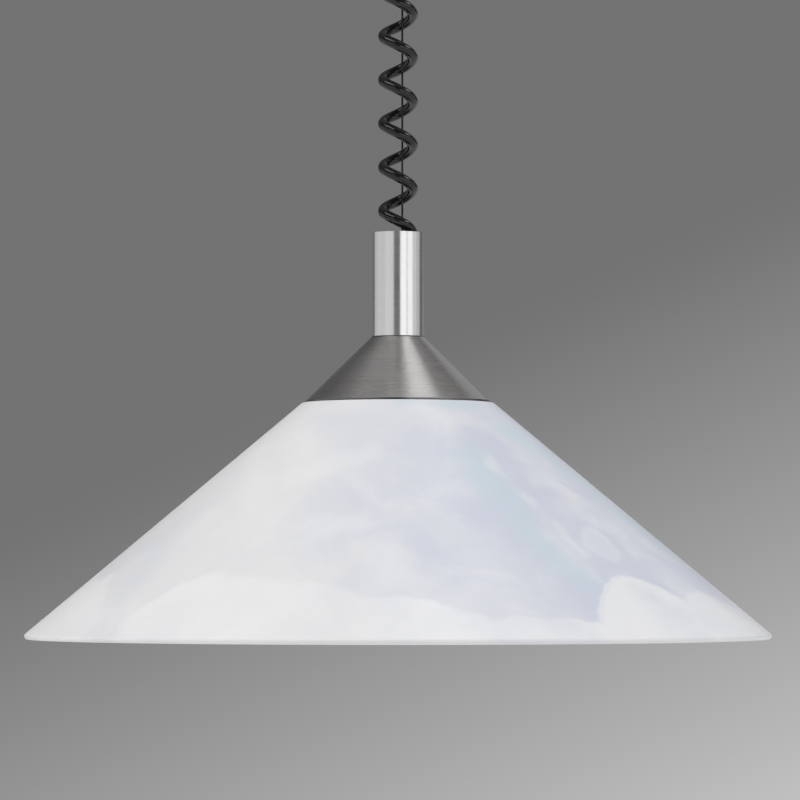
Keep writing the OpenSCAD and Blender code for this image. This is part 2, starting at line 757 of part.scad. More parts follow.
// Split clamp on the cord at z, its slit and screw on the side given
module cord_clamp(z, side) color(black_plastic) translate([coil_r, 0, z]) difference() {
    translate([side > 0 ? -clamp_near : -clamp_far, -clamp_w / 2, 0])
        cube([clamp_near + clamp_far, clamp_w, clamp_h]);
    hole(cord_r + cord_fit, clamp_h);
    translate([side > 0 ? 0 : -clamp_far - over, -clamp_slit / 2, -over])
        cube([clamp_far + over, clamp_slit, clamp_h + 2 * over]);
    translate([side * clamp_screw_x, 0, clamp_h / 2]) rotate([90, 0, 0])
        cylinder(r = m3_r + fit, h = clamp_w + 2 * over, center = true);
}

module clamp_screw(z, side) color(zinc)
    translate([coil_r + side * clamp_screw_x, -clamp_w / 2, z + clamp_h / 2]) rotate([90, 0, 0])
        m3_screw(clamp_w - clamp_screw_short);

module upper_cord_clamp() cord_clamp(upper_clamp_z, 1);
module upper_clamp_screw() clamp_screw(upper_clamp_z, 1);
module lower_cord_clamp() cord_clamp(lower_clamp_z, -1);
module lower_clamp_screw() clamp_screw(lower_clamp_z, -1);

// The middles of the two screws of each pole, at z
module at_pole_screws(z) {
    for (pole = [-1:1], side = [-1, 1])
        translate([block_mid_x + side * block_l / 4, pole * pole_gap, z]) children();
}

module terminal_block() color(white_plastic) difference() {
    translate([block_x, -block_w / 2, block_z]) cube([block_l, block_w, block_h]);
    for (pole = [-1:1])
        translate([block_x, pole * pole_gap, lead_z]) rotate([0, 90, 0]) hole(lead_hole_r, block_l);
    at_pole_screws(block_z - over) cylinder(r = pole_screw_r + fit, h = block_h / 2 + over, $fn = 32);
    translate([block_mid_x, pole_gap / 2, block_z]) {
        hole(m3_r + cord_fit, block_h);
        translate([0, 0, -over]) cylinder(r = m3_head_r + cord_fit, h = m3_head_h + over);
    }
}

module terminal_screws() color(zinc)
    at_pole_screws(block_z + pole_screw_sink) difference() {
        cylinder(r = pole_screw_r, $fn = 32,
            h = lead_z - lead_hole_r - block_z - pole_screw_sink - screw_short);
        translate([-pole_screw_r - over, -pole_screw_slot / 2, -over])
            cube([2 * (pole_screw_r + over), pole_screw_slot, over + pole_screw_slot]);
    }

module block_screw() color(zinc)
    translate([block_mid_x, pole_gap / 2, block_z + m3_head_h]) rotate([180, 0, 0])
        m3_screw(block_h - m3_head_h + strap_t - screw_short);

module upper_cord_tail() color(black_plastic) lead_along(smooth(upper_tail_route, 3), cord_r);

// A core from the split of the upper cord to a pole of the terminal block
module upper_core(pole, place) {
    y = pole * pole_gap;
    start = upper_split + place;
    lead_along(smooth([start + core_gap, start + [0, 0, 2], start + [0, pole * 1.5, 7],
        [block_end_x + 5, pole * (pole_gap - 1.5), lead_z - 4], [block_end_x + 2.5, y, lead_z - 0.6],
        [block_end_x, y, lead_z], [block_end_x - 3.5, y, lead_z]], 4), core_d / 2);
}

module upper_live_core() color(live_brown) upper_core(-1, core_places[0]);
module upper_neutral_core() color(neutral_blue) upper_core(1, core_places[1]);
module upper_earth_core() color(earth_green) upper_core(0, core_places[2]);

module curly_cord() color(black_plastic) tube_along(cord_points, cord_r, cord_sides, cord_sides_out);

module suspension_wire() color(dark_wire)
    translate([wire_x, 0, wire_end_z]) cylinder(r = wire_r, h = wire_start_z - wire_end_z, $fn = 16);

module lamp_tube() color(nickel) translate([0, 0, tube_bottom_z]) ring(tube_r, tube_in_r, tube_h, $fn = 96);

module at_rods(z) {
    for (side = [-1, 1]) translate([rod_x, side * rod_y, z]) children();
}

module tube_plate() color(steel) difference() {
    translate([0, 0, plate_bottom_z]) cylinder(r = tube_in_r - fit, h = plate_t);
    translate([0, 0, plate_bottom_z]) cord_and_wire_holes(bush_spigot_r + fit, wire_r + wire_fit, plate_t);
    at_rods(plate_bottom_z) hole(m3_r + fit, plate_t);
}

module tie_rods() color(zinc) at_rods(plate_top_z) m3_screw(plate_top_z - tube_bottom_z - rod_end);

module wire_gripper() color(brass) difference() {
    translate([wire_x, 0, plate_bottom_z - gripper_l]) ring(gripper_r, wire_r + fit, gripper_l);
    for (z = gripper_screw_z)
        translate([wire_x - gripper_r - over, 0, plate_bottom_z - z]) rotate([0, 90, 0])
            cylinder(r = gripper_screw_r + fit, h = gripper_r + over, $fn = 24);
}

module gripper_screws() color(steel)
    for (z = gripper_screw_z)
        translate([wire_x - gripper_r - gripper_screw_out, 0, plate_bottom_z - z]) rotate([0, 90, 0])
            cylinder(r = gripper_screw_r, h = gripper_r + gripper_screw_out - wire_r - fit, $fn = 24);

module lower_cord_bush() color(black_plastic) translate([coil_r, 0, cord_end_z]) difference() {
    union() {
        translate([0, 0, plate_top_z - cord_end_z]) cylinder(r = bush_flange_r, h = bush_flange_t);
        cylinder(r = bush_spigot_r, h = cord_end_l);
    }
    hole(cord_r + cord_fit, cord_end_l);
}

module lower_cord_tail() color(black_plastic) lead_along(lower_tail_route, cord_r);

// A core from the split of the lower cord through the nipple to a holder terminal
module lower_core(side, place) {
    start = lower_split + place;
    lead_along(smooth([start - core_gap, start - [0, 0, 2],
        lower_split + [-2.5, side * 1.2, -5], [3, side * 1.3, nipple_top_z + 2.5],
        [1, side * 1.3, nipple_top_z - 2], [0.6, side * 1.3, nipple_bottom_z + 4],
        [0.8, side * 1.6, nipple_bottom_z - 1],
        [0.3, side * (terminal_y - 0.6), holder_top_z + terminal_h + 3],
        [terminal_x, side * terminal_y, holder_top_z + terminal_h] + core_gap], 4), core_d / 2);
}

module lower_live_core() color(live_brown) lower_core(-1, core_places[0]);
module lower_neutral_core() color(neutral_blue) lower_core(1, core_places[1]);
module lower_earth_core() color(earth_green) {
    start = lower_split + core_places[2];
    screw_top_z = foot_top_z + tag_t + m3_head_h;
    lead_along(smooth([start - core_gap, start - [0, 0, 2], [earth_x - 1.6, 0, screw_top_z + 5.5],
        [earth_x - 1, 0, screw_top_z + 2.5]], 4), core_d / 2);
}

module earth_tag() color(brass) translate([earth_x, 0, foot_top_z]) ring(tag_r, m3_r + fit, tag_t);

module earth_tag_screw() color(brass)
    translate([earth_x, 0, foot_top_z + tag_t])
        pan_screw(m3_r, tag_t + foot_t - rod_end, tag_r, m3_head_h);

module tube_foot() color(steel) translate([0, 0, tube_bottom_z]) difference() {
    cylinder(r = tube_in_r - fit, h = foot_t);
    hole(nipple_r + fit, foot_t);
    at_rods(0) hole(m3_r + fit, foot_t);
    translate([earth_x, 0, rod_end - earth_screw_end]) cylinder(r = m3_r + fit, h = foot_t);
}

module nipple() color(zinc) translate([0, 0, nipple_bottom_z])
    ring(nipple_r, nipple_bore / 2, nipple_top_z - nipple_bottom_z);

module lock_nut(z) {
    translate([0, 0, z]) difference() {
        cylinder(r = (nipple_r + nut_side) / cos(30), h = nut_h, $fn = 6);
        hole(nipple_r + fit, nut_h);
    }
}

module lock_nuts() color(zinc) {
    lock_nut(foot_top_z);
    lock_nut(tube_bottom_z - cap_top_t - nut_h);
}

module cap() color(nickel) rotate_extrude($fn = 128) {
    cap_r = cap_d / 2;
    slope = (cap_r - tube_r) / (cap_h - cap_edge);
    inset = cap_wall * sqrt(1 + slope * slope) / slope;
    polygon([[nipple_r + fit, tube_bottom_z], [tube_r, tube_bottom_z],
        [cap_r, cap_base_z + cap_edge], [cap_r, cap_base_z], [cap_r - cap_wall, cap_base_z],
        [cap_r - cap_wall, cap_base_z + cap_edge - inset + cap_wall / slope],
        [tube_r + (cap_top_t - inset) * slope, tube_bottom_z - cap_top_t],
        [nipple_r + fit, tube_bottom_z - cap_top_t]]);
}

module cap_gasket() color(dark_gasket) translate([0, 0, glass_top_z]) {
    r = cap_d / 2 - cap_gasket_inset;
    ring(r, r - cap_gasket_w, cap_gasket_t, $fn = 128);
}

module holder_cap() color(white_plastic) rotate_extrude() {
    shoulder_z = holder_cap_top_z - shoulder_drop;
    polygon(concat(
        [[nipple_r + fit, holder_cap_top_z], [collar_r, holder_cap_top_z],
            [collar_r, holder_cap_top_z - collar_out]],
        arc([holder_cap_r - shoulder_r, shoulder_z], shoulder_r, 90, 0, 6),
        [[holder_cap_r, holder_top_z], [holder_in_r, holder_top_z], [holder_in_r, shoulder_z],
            [holder_cap_r - shoulder_r, holder_cap_top_z - collar_h],
            [nipple_r + fit, holder_cap_top_z - collar_h]]));
}

module holder_body() color(white_plastic) rotate_extrude() polygon([
    [holder_in_r, holder_top_z], [holder_flange_r, holder_top_z],
    [holder_flange_r, holder_top_z - holder_flange_t], [holder_r, holder_top_z - holder_flange_t],
    [holder_r, holder_bottom_z + holder_edge], [holder_r - holder_edge, holder_bottom_z],
    [holder_in_r, holder_bottom_z]]);

module holder_insert() color(white_plastic) difference() {
    translate([0, 0, socket_bottom_z]) cylinder(r = holder_in_r - fit, h = holder_top_z - socket_bottom_z);
    translate([0, 0, socket_bottom_z - over])
        cylinder(r = shell_r + fit, h = insert_web_z - socket_bottom_z + over);
    for (side = [-1, 1])
        translate([terminal_x, side * terminal_y, insert_web_z])
            hole(stem_r + cord_fit, insert_web_t, $fn = 24);
}

module screw_shell() color(brass) translate([0, 0, socket_bottom_z])
    ring(shell_r, socket_d / 2, socket_h, $fn = 96);

// Flat strip under the insert's web, along Y from y
module contact_strip(y, length) {
    translate([terminal_x - contact_w / 2, y, insert_web_z - contact_t]) cube([contact_w, length, contact_t]);
}

// Two terminals with stems through the web: one feeds the centre contact, one the screw shell
module holder_contacts() color(brass) {
    for (side = [-1, 1]) {
        translate([terminal_x - terminal_l / 2, side * terminal_y - terminal_w / 2, holder_top_z])
            cube([terminal_l, terminal_w, terminal_h]);
        translate([terminal_x, side * terminal_y, insert_web_z - contact_t])
            cylinder(r = stem_r, h = insert_web_t + 2 * contact_t, $fn = 24);
    }
    contact_strip(-terminal_y - contact_w / 2, terminal_y + contact_w);
    translate([0, 0, insert_web_z - contact_t - contact_h])
        cylinder(r = contact_r, h = contact_h + contact_t);
    contact_strip(terminal_y - contact_w / 2, tongue_y - terminal_y + contact_w / 2);
    translate([terminal_x - contact_w / 2, tongue_y - contact_t, socket_top_z])
        cube([contact_w, contact_t, contact_room]);
}

module shade_ring() color(white_plastic) translate([0, 0, ring_z]) difference() {
    cylinder(d = ring_d, h = ring_h, $fn = 96);
    hole(holder_r + fit, ring_h, $fn = 96);
    for (i = [0:ring_grips - 1]) rotate([0, 0, 360 * i / ring_grips])
        translate([ring_d / 2 + ring_grip_r - ring_grip_depth, 0, 0]) hole(ring_grip_r, ring_h, $fn = 16);
}

module glass_gaskets() color(pale_gasket)
    for (z = [glass_top_z, glass_top_z - glass_t - gasket_t])
        translate([0, 0, z]) ring(holder_flange_r, holder_r + fit, gasket_t);

// Straight cone with a round rim, a rounded top edge and a flat top
module glass_shade() color(glass_white) {
    edge = glass_t / 2;
    rim = [shade_d / 2 - edge, glass_bottom_z + edge];
    top = [shade_top_d / 2, glass_top_z];
    slope = -(atan2(rim[1] - top[1], rim[0] - top[0]) + asin(edge / norm(rim - top)));
    edge_centre = top - shade_edge_r * [tan(slope / 2), 1];
    inner = top + [-glass_t * tan(slope / 2), -glass_t];
    rotate_extrude($fn = 192) polygon(concat([[glass_hole_r, glass_top_z]],
        arc(edge_centre, shade_edge_r, 90, 90 - slope, 6), arc(rim, edge, 90 - slope, -90 - slope, 10),
        [inner, [glass_hole_r, glass_top_z - glass_t]]));
}

ceiling_bracket();
bracket_earth_screw();
canopy();
canopy_screws();
reel_frame();
reel_frame_screws();
reel_axle();
axle_clips();
wire_drum();
drum_bushes();
mainspring();
spring_cover();
cover_screws();
wire_winding();
brake_pad();
brake_plate();
brake_spring();
brake_nut();
brake_screw();
outlet_bush();
outlet_nut();
wire_eyelet();
upper_cord_clamp();
upper_clamp_screw();
terminal_block();
terminal_screws();
block_screw();
upper_cord_tail();
upper_live_core();
upper_neutral_core();
upper_earth_core();
curly_cord();
suspension_wire();
lamp_tube();
tube_plate();
tie_rods();
wire_gripper();
gripper_screws();
lower_cord_bush();
lower_cord_clamp();
lower_clamp_screw();
lower_cord_tail();
lower_live_core();
lower_neutral_core();
lower_earth_core();
earth_tag();
earth_tag_screw();
tube_foot();
nipple();
lock_nuts();
cap();
cap_gasket();
holder_cap();
holder_body();
holder_insert();
screw_shell();
holder_contacts();
shade_ring();
glass_gaskets();
glass_shade();
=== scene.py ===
"""Rise and fall pendant: looks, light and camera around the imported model.

Metres, +Z up. The ceiling is the plane z = 0, the lamp's axis is x = y = 0, and the camera looks along +Y.
"""

import json
import math

import bpy
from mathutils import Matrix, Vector


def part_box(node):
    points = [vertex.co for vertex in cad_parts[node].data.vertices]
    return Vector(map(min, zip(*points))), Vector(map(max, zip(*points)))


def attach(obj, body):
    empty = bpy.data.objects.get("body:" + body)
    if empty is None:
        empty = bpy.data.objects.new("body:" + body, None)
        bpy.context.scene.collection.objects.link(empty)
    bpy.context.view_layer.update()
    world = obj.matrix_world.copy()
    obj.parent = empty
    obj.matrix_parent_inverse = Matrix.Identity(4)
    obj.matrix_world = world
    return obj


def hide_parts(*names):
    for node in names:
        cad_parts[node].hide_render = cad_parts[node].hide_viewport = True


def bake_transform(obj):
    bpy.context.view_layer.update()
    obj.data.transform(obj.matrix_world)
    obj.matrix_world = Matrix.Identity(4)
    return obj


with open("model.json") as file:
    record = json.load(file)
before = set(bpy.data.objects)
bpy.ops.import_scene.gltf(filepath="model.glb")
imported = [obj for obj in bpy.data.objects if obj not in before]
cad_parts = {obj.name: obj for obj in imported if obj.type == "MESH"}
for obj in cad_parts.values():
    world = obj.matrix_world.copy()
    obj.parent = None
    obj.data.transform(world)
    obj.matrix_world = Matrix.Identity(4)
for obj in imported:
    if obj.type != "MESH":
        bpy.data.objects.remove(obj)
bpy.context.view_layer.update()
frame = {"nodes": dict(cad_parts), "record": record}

MM = 0.001


def node_low(name):
    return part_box(name)[0]


def node_high(name):
    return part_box(name)[1]


# ---------------------------------------------------------------- sizes, as the construction has them

CORD_R = 3.1 * MM
COIL_R = 8.5 * MM
COIL_PITCH = 25.4 * MM
CURLS = 10
CORD_END = 5.2 * MM  # straight length at each end
EASE_TURN = 60  # degrees over which a curl starts and ends
EASE_EXTRA = 4 * MM
WIRE_R = 0.6 * MM
WIRE_X = 2.5 * MM
CORE_R = 0.95 * MM

AXLE_X = -18.3 * MM
AXLE_Z = -36 * MM
WIND_R = 20.8 * MM
WIND_TURNS = 2.5
WIND_STEP = 1.68 * MM
STRIP_T = 0.5 * MM
SPRING_TURNS = 6
SPRING_IN_R = 6.3 * MM
SPRING_OUT_R = 22.2 * MM
BRAKE_Z = -51 * MM
BRAKE_COIL_R = 2.75 * MM
BRAKE_WIRE_R = 0.35 * MM
BRAKE_COILS = 3
BRAKE_PLAY = 0.05 * MM  # between the spring's ends and what they press on
THREAD_RUNOUT = 0.6  # in pitches
SHELL_PITCH = 3.629 * MM
NIPPLE_PITCH = 1 * MM

cord_top = node_high("curly_cord").z
cord_bottom = node_low("curly_cord").z
coil_top = cord_top - CORD_END
coil_bottom = cord_bottom + CORD_END
wire_top = node_high("suspension_wire").z
wire_bottom = node_low("suspension_wire").z
glass_low, glass_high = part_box("glass_shade")
shade_r = glass_high.x
shade_height = glass_high.z - glass_low.z


# ---------------------------------------------------------------- meshes


def add_mesh(name, points, faces, material, smooth=True):
    mesh = bpy.data.meshes.new(name)
    mesh.from_pydata([tuple(p) for p in points], [], faces)
    mesh.update()
    mesh.validate()
    for polygon in mesh.polygons:
        polygon.use_smooth = smooth
    piece = bpy.data.objects.new(name, mesh)
    bpy.context.scene.collection.objects.link(piece)
    mesh.materials.append(material)
    return piece


def round_profile(sides):
    return [(math.cos(2 * math.pi * k / sides), math.sin(2 * math.pi * k / sides)) for k in range(sides)]


def sweep(name, path, radius, profile, material, twist_pitch=None, side=None):
    """A closed tube along a path. The profile is in radii, and turns once per twist_pitch."""
    points, faces = [], []
    count = len(profile)
    run = 0
    across = Vector(side) if side else None
    for i, here in enumerate(path):
        before, after = path[max(i - 1, 0)], path[min(i + 1, len(path) - 1)]
        along = (after - before).normalized()
        if across is None:
            across = along.orthogonal()
        across = (across - across.dot(along) * along).normalized()
        second = along.cross(across)
        run += (here - before).length
        turn = 2 * math.pi * run / twist_pitch if twist_pitch else 0
        for x, y in profile:
            u = x * math.cos(turn) - y * math.sin(turn)
            v = x * math.sin(turn) + y * math.cos(turn)
            points.append(here + radius * (u * across + v * second))
    for i in range(len(path) - 1):
        for k in range(count):
            a, b = i * count + k, i * count + (k + 1) % count
            faces.append((a, b, b + count, a + count))
    last = (len(path) - 1) * count
    faces.append(tuple(range(count - 1, -1, -1)))
    faces.append(tuple(range(last, last + count)))
    piece = add_mesh(name, points, faces, material)
    for polygon in piece.data.polygons:
        if len(polygon.vertices) == count and count > 4:
            polygon.use_smooth = False
    return piece


def smooth_route(points, steps=8):
    """A smooth curve through given points."""
    route = []
    last = len(points) - 1
    for i in range(last):
        a, b, c, d = (Vector(points[j]) for j in (max(i - 1, 0), i, i + 1, min(i + 2, last)))
        for s in range(steps):
            t = s / steps
            route.append(0.5 * (2 * b + (c - a) * t + (2 * a - 5 * b + 4 * c - d) * t * t
                                + (3 * b - a - 3 * c + d) * t * t * t))
    route.append(Vector(points[last]))
    return route


def millimetres(points):
    return [Vector(p) * MM for p in points]


# ---------------------------------------------------------------- materials

FACTOR, COLOR_A, COLOR_B, MIXED = 0, 6, 7, 2  # sockets of a colour Mix node


class Finish:
    """A material with a Principled shader, and short names for the nodes that feed it."""

    def __init__(self, name, **settings):
        self.material = bpy.data.materials.new(name)
        self.material.use_nodes = True
        self.tree = self.material.node_tree
        self.shader = self.tree.nodes["Principled BSDF"]
        for socket, value in settings.items():
            self.set(socket.replace("_", " ").capitalize().replace("Ior", "IOR"), value)
        coordinates = self.add("TexCoord")
        self.place = coordinates.outputs["Object"]

    def set(self, socket, value):
        names = {s.name.lower(): s for s in self.shader.inputs}
        target = names[socket.lower()]
        if isinstance(value, bpy.types.NodeSocket):
            self.tree.links.new(value, target)
        else:
            target.default_value = value

    def add(self, kind, inputs=None, **settings):
        made = self.tree.nodes.new("ShaderNode" + kind)
        for key, value in settings.items():
            setattr(made, key, value)
        for key, value in (inputs or {}).items():
            if isinstance(value, bpy.types.NodeSocket):
                self.tree.links.new(value, made.inputs[key])
            else:
                made.inputs[key].default_value = value
        return made

    def math(self, operation, a, b=0.0, clamp=False):
        return self.add("Math", {0: a, 1: b}, operation=operation, use_clamp=clamp).outputs[0]

    def stretched(self, scale):
        """The object's coordinates, with another scale along each axis."""
        return self.add("VectorMath", {0: self.place, 1: scale}, operation="MULTIPLY").outputs[0]

    def noise(self, place, scale=1.0, detail=3.0, roughness=0.5, distortion=0.0):
        inputs = {"Vector": place, "Scale": scale, "Detail": detail, "Roughness": roughness,
                  "Distortion": distortion}
        return self.add("TexNoise", inputs).outputs["Fac"]

    def between(self, value, low, high, to_low=0.0, to_high=1.0):
        """A smooth step of value from low to high."""
        inputs = {"Value": value, "From Min": low, "From Max": high, "To Min": to_low, "To Max": to_high}
        return self.add("MapRange", inputs, interpolation_type="SMOOTHSTEP").outputs["Result"]

    def mix(self, share, a, b):
        inputs = {FACTOR: share, COLOR_A: a, COLOR_B: b}
        return self.add("Mix", inputs, data_type="RGBA").outputs[MIXED]

    def depth_in(self, place, centre, shares):
        """How far out a place is from a centre, 1 at the edge of an ellipsoid with these shares."""
        apart = self.add("VectorMath", {0: place, 1: centre}, operation="SUBTRACT").outputs[0]
        scaled = self.add("VectorMath", {0: apart, 1: shares}, operation="MULTIPLY").outputs[0]
        return self.add("VectorMath", {0: scaled}, operation="LENGTH").outputs["Value"]

    def reach(self, place, start, end):
        """How far a place is from the straight line between two points."""
        line = end - start
        apart = self.add("VectorMath", {0: place, 1: start}, operation="SUBTRACT").outputs[0]
        along = self.add("VectorMath", {0: apart, 1: line / line.length_squared}, operation="DOT_PRODUCT")
        share = self.math("ADD", along.outputs["Value"], 0.0, clamp=True)
        nearest = self.add("VectorMath", {0: line, "Scale": share}, operation="SCALE").outputs[0]
        return self.add("VectorMath", {0: apart, 1: nearest}, operation="DISTANCE").outputs["Value"]

    def bump(self, height, depth, strength):
        inputs = {"Height": height, "Distance": depth, "Strength": strength}
        return self.add("Bump", inputs).outputs["Normal"]


def rgb(r, g, b):
    return (r, g, b, 1.0)


def lighter(color, share):
    return rgb(*(min(1.0, c * share) for c in color[:3]))


PAINTED_SHADE_BLUR = 0.2 * MM  # half the height over which the painted shade at an edge fades


def brushed_metal(name, color, roughness, line_scale, mottle=0.04, edges=None):
    """Metal brushed round the Z axis: fine lines at each height, softly uneven.

    Below and above the two heights in edges its colour is darkened: painted shade along those edges.
    """
    finish = Finish(name, metallic=1.0, anisotropic=0.5, anisotropic_rotation=0.25)
    fine = finish.noise(finish.stretched((30, 30, line_scale)), detail=4)
    broad = finish.noise(finish.stretched((9, 9, line_scale / 7)), detail=2)
    smears = finish.noise(finish.stretched((22, 22, 40)), detail=3)
    lines = finish.math("ADD", finish.math("MULTIPLY", fine, 0.6), finish.math("MULTIPLY", broad, 0.4))
    shade = finish.math("ADD", finish.math("MULTIPLY", lines, 0.7), finish.math("MULTIPLY", smears, 0.3))
    base = finish.mix(finish.between(shade, 0.3, 0.7), lighter(color, 1 - mottle), lighter(color, 1 + mottle))
    if edges is not None:
        low, high = edges
        height = finish.add("SeparateXYZ", {"Vector": finish.place}).outputs["Z"]
        # painted shade: the colour darkens to 0.3 of its own below the low height and above the high one
        painted_edge_shade = finish.math("ADD", finish.between(height, low - PAINTED_SHADE_BLUR, low + PAINTED_SHADE_BLUR, 1.0, 0.0),
                           finish.between(height, high - PAINTED_SHADE_BLUR, high + PAINTED_SHADE_BLUR, 0.0, 1.0))
        base = finish.mix(painted_edge_shade, base, lighter(color, 0.3))
    finish.set("Base color", base)
    finish.set("Roughness", finish.between(shade, 0.25, 0.75, roughness - 0.04, roughness + 0.04))
    finish.set("Normal", finish.bump(lines, 0.01 * MM, 0.5))
    around = finish.add("Tangent", direction_type="RADIAL", axis="Z")
    finish.set("Tangent", around.outputs["Tangent"])
    return finish.material


def plated_steel(name, color, roughness, spots):
    """Plated or bare sheet and turned parts: faint spangle, scuffs and duller patches."""
    finish = Finish(name, metallic=1.0)
    patches = finish.noise(finish.place, scale=spots, detail=5)
    grain = finish.noise(finish.place, scale=spots * 9, detail=3)
    scuffs = finish.noise(finish.stretched((120, 900, 300)), detail=3, distortion=1.5)
    wear = finish.between(scuffs, 0.56, 0.68)
    base = finish.mix(finish.between(patches, 0.35, 0.65), lighter(color, 0.86), lighter(color, 1.08))
    finish.set("Base color", finish.mix(finish.math("MULTIPLY", wear, 0.35), base, lighter(color, 1.3)))
    finish.set("Roughness", finish.between(patches, 0.3, 0.7, roughness - 0.07, roughness + 0.09))
    finish.set("Normal", finish.bump(grain, 0.015 * MM, 0.5))
    return finish.material


def cast_metal(name, color, roughness):
    """Die-cast metal: a pebbly, unevenly rough skin and broad patches of darker and lighter metal."""
    finish = Finish(name, metallic=1.0)
    skin = finish.noise(finish.place, scale=2600, detail=5, roughness=0.6)
    flow = finish.noise(finish.place, scale=160, detail=3, distortion=1.0)
    base = finish.mix(finish.between(flow, 0.35, 0.65), lighter(color, 0.82), lighter(color, 1.1))
    finish.set("Base color", base)
    finish.set("Roughness", finish.between(skin, 0.3, 0.7, roughness, roughness + 0.15))
    finish.set("Normal", finish.bump(skin, 0.05 * MM, 0.7))
    return finish.material


def turned_brass(name, color):
    """Bright brass with a light tarnish in soft clouds."""
    finish = Finish(name, metallic=1.0)
    clouds = finish.noise(finish.place, scale=210, detail=5)
    marks = finish.noise(finish.stretched((500, 500, 9000)), detail=2)
    tarnished = rgb(color[0] * 0.62, color[1] * 0.55, color[2] * 0.5)
    finish.set("Base color", finish.mix(finish.between(clouds, 0.45, 0.75), color, tarnished))
    finish.set("Roughness", finish.between(clouds, 0.4, 0.75, 0.16, 0.34))
    finish.set("Normal", finish.bump(marks, 0.01 * MM, 0.4))
    return finish.material


def moulded_plastic(name, color, roughness, grain, spread):
    """Moulded plastic: a fine grain, and soft variations of colour and gloss."""
    finish = Finish(name)
    clouds = finish.noise(finish.place, scale=90, detail=4)
    skin = finish.noise(finish.place, scale=grain, detail=3)
    finish.set("Base color", finish.mix(finish.between(clouds, 0.3, 0.7), lighter(color, 1 - spread),
                                        lighter(color, 1 + spread)))
    finish.set("Roughness", finish.between(clouds, 0.3, 0.7, roughness - 0.05, roughness + 0.06))
    finish.set("Normal", finish.bump(skin, 0.02 * MM, 0.5))
    return finish.material


def brake_felt(name, color):
    """Pressed felt: short fibres in every direction, lighter and darker, with small clumps."""
    finish = Finish(name, roughness=0.95, sheen_weight=0.4, sheen_roughness=0.6)
    fibres = finish.noise(finish.stretched((700, 2600, 900)), detail=6, roughness=0.7, distortion=3.0)
    clumps = finish.noise(finish.place, scale=420, detail=4)
    base = finish.mix(finish.between(fibres, 0.35, 0.7), lighter(color, 0.6), lighter(color, 1.35))
    finish.set("Base color", base)
    height = finish.math("ADD", fibres, finish.math("MULTIPLY", clumps, 0.6))
    finish.set("Normal", finish.bump(height, 0.25 * MM, 0.9))
    return finish.material


def striped_core(name, color, stripe):
    """Earth core: green with a yellow stripe that winds round it."""
    finish = Finish(name, roughness=0.38)
    axes = finish.add("SeparateXYZ", {"Vector": finish.place})
    wave = finish.math("SINE", finish.math("MULTIPLY", axes.outputs["Y"], 2600.0))
    wobble = finish.noise(finish.place, scale=300, detail=2)
    band = finish.between(finish.math("ADD", wave, finish.math("MULTIPLY", wobble, 0.2)), -0.05, 0.15)
    finish.set("Base color", finish.mix(band, color, stripe))
    finish.set("Normal", finish.bump(wobble, 0.02 * MM, 0.4))
    return finish.material


SHEATH_BLACK = rgb(0.002, 0.002, 0.0025)
SHEATH_RUBBED = rgb(0.004, 0.004, 0.0045)
DUST_GREY = rgb(0.12, 0.12, 0.12)


def cord_sheath(name):
    """Glossy black PVC sheath with faint draw lines, a little dust and duller rubbed places."""
    finish = Finish(name, specular_ior_level=0.52)
    rubbed = finish.noise(finish.place, scale=130, detail=4)
    dust = finish.noise(finish.place, scale=5200, detail=2)
    skin = finish.noise(finish.stretched((700, 700, 260)), detail=4)
    black = finish.mix(finish.between(rubbed, 0.35, 0.7), SHEATH_BLACK, SHEATH_RUBBED)
    specks = finish.between(dust, 0.70, 0.78)
    finish.set("Base color", finish.mix(finish.math("MULTIPLY", specks, 0.25), black, DUST_GREY))
    finish.set("Roughness", finish.between(rubbed, 0.3, 0.75, 0.17, 0.25))
    finish.set("Normal", finish.bump(skin, 0.03 * MM, 0.25))
    return finish.material


def gasket_rubber(name, color, roughness):
    """Matt rubber with fine pores."""
    finish = Finish(name, roughness=roughness)
    pores = finish.noise(finish.place, scale=1800, detail=4, roughness=0.6)
    base = finish.mix(finish.between(pores, 0.35, 0.65), lighter(color, 0.8), lighter(color, 1.2))
    finish.set("Base color", base)
    finish.set("Normal", finish.bump(pores, 0.05 * MM, 0.6))
    return finish.material


# Clouds in the glass. A place is a direction in degrees, 0 towards the camera and 90 to the right, and a
# share of the height above the rim.
CLOUDS = (  # place, half width, half height
    ((-84, 0.00), 120 * MM, 50 * MM),
    ((-25, 0.00), 84 * MM, 45 * MM),
    ((-1, 0.00), 60 * MM, 29 * MM),
    ((24, 0.00), 62 * MM, 18 * MM),
    ((45, 0.06), 50 * MM, 33 * MM),
    ((66, 0.00), 66 * MM, 33 * MM),
    ((98, 0.00), 110 * MM, 26 * MM),
    ((140, 0.00), 88 * MM, 52 * MM),
    ((176, 0.00), 90 * MM, 33 * MM),
    ((-142, 0.00), 98 * MM, 45 * MM),
)
SWIRLS = (  # place, radius
    ((48, 0.39), 10 * MM),
    ((131, 0.55), 12 * MM),
    ((-118, 0.62), 9 * MM),
    ((-160, 0.44), 11 * MM),
)
STREAKS = (  # from, to, half width
    ((24, 0.72), (34, 0.27), 11 * MM),
    ((58, 0.84), (78, 0.40), 12 * MM),
    ((4, 0.985), (50, 0.96), 6 * MM),
    ((150, 0.80), (162, 0.38), 13 * MM),
    ((-128, 0.78), (-104, 0.42), 12 * MM),
)
VEILS = (
    ((30, 0.70), (41, 0.36), 4 * MM),
    ((-62, 0.80), (-40, 0.55), 9 * MM),
    ((-12, 0.75), (-34, 0.66), 8 * MM),
    ((110, 0.85), (124, 0.45), 8 * MM),
    ((-170, 0.86), (-152, 0.52), 7 * MM),
)
GLASS_WHITE = rgb(0.800, 0.800, 0.806)
GLASS_GREY = rgb(0.725, 0.722, 0.735)
GLASS_LAVENDER = rgb(0.585, 0.612, 0.700)
GLASS_TEAL = rgb(0.530, 0.645, 0.700)
GLASS_RING = rgb(0.840, 0.845, 0.860)
GLASS_TOP_R = 55.25 * MM
DRIFT = 46 * MM  # how far the clouds stray from their plain outlines
FAR_OUT = 9.0  # beyond every bank
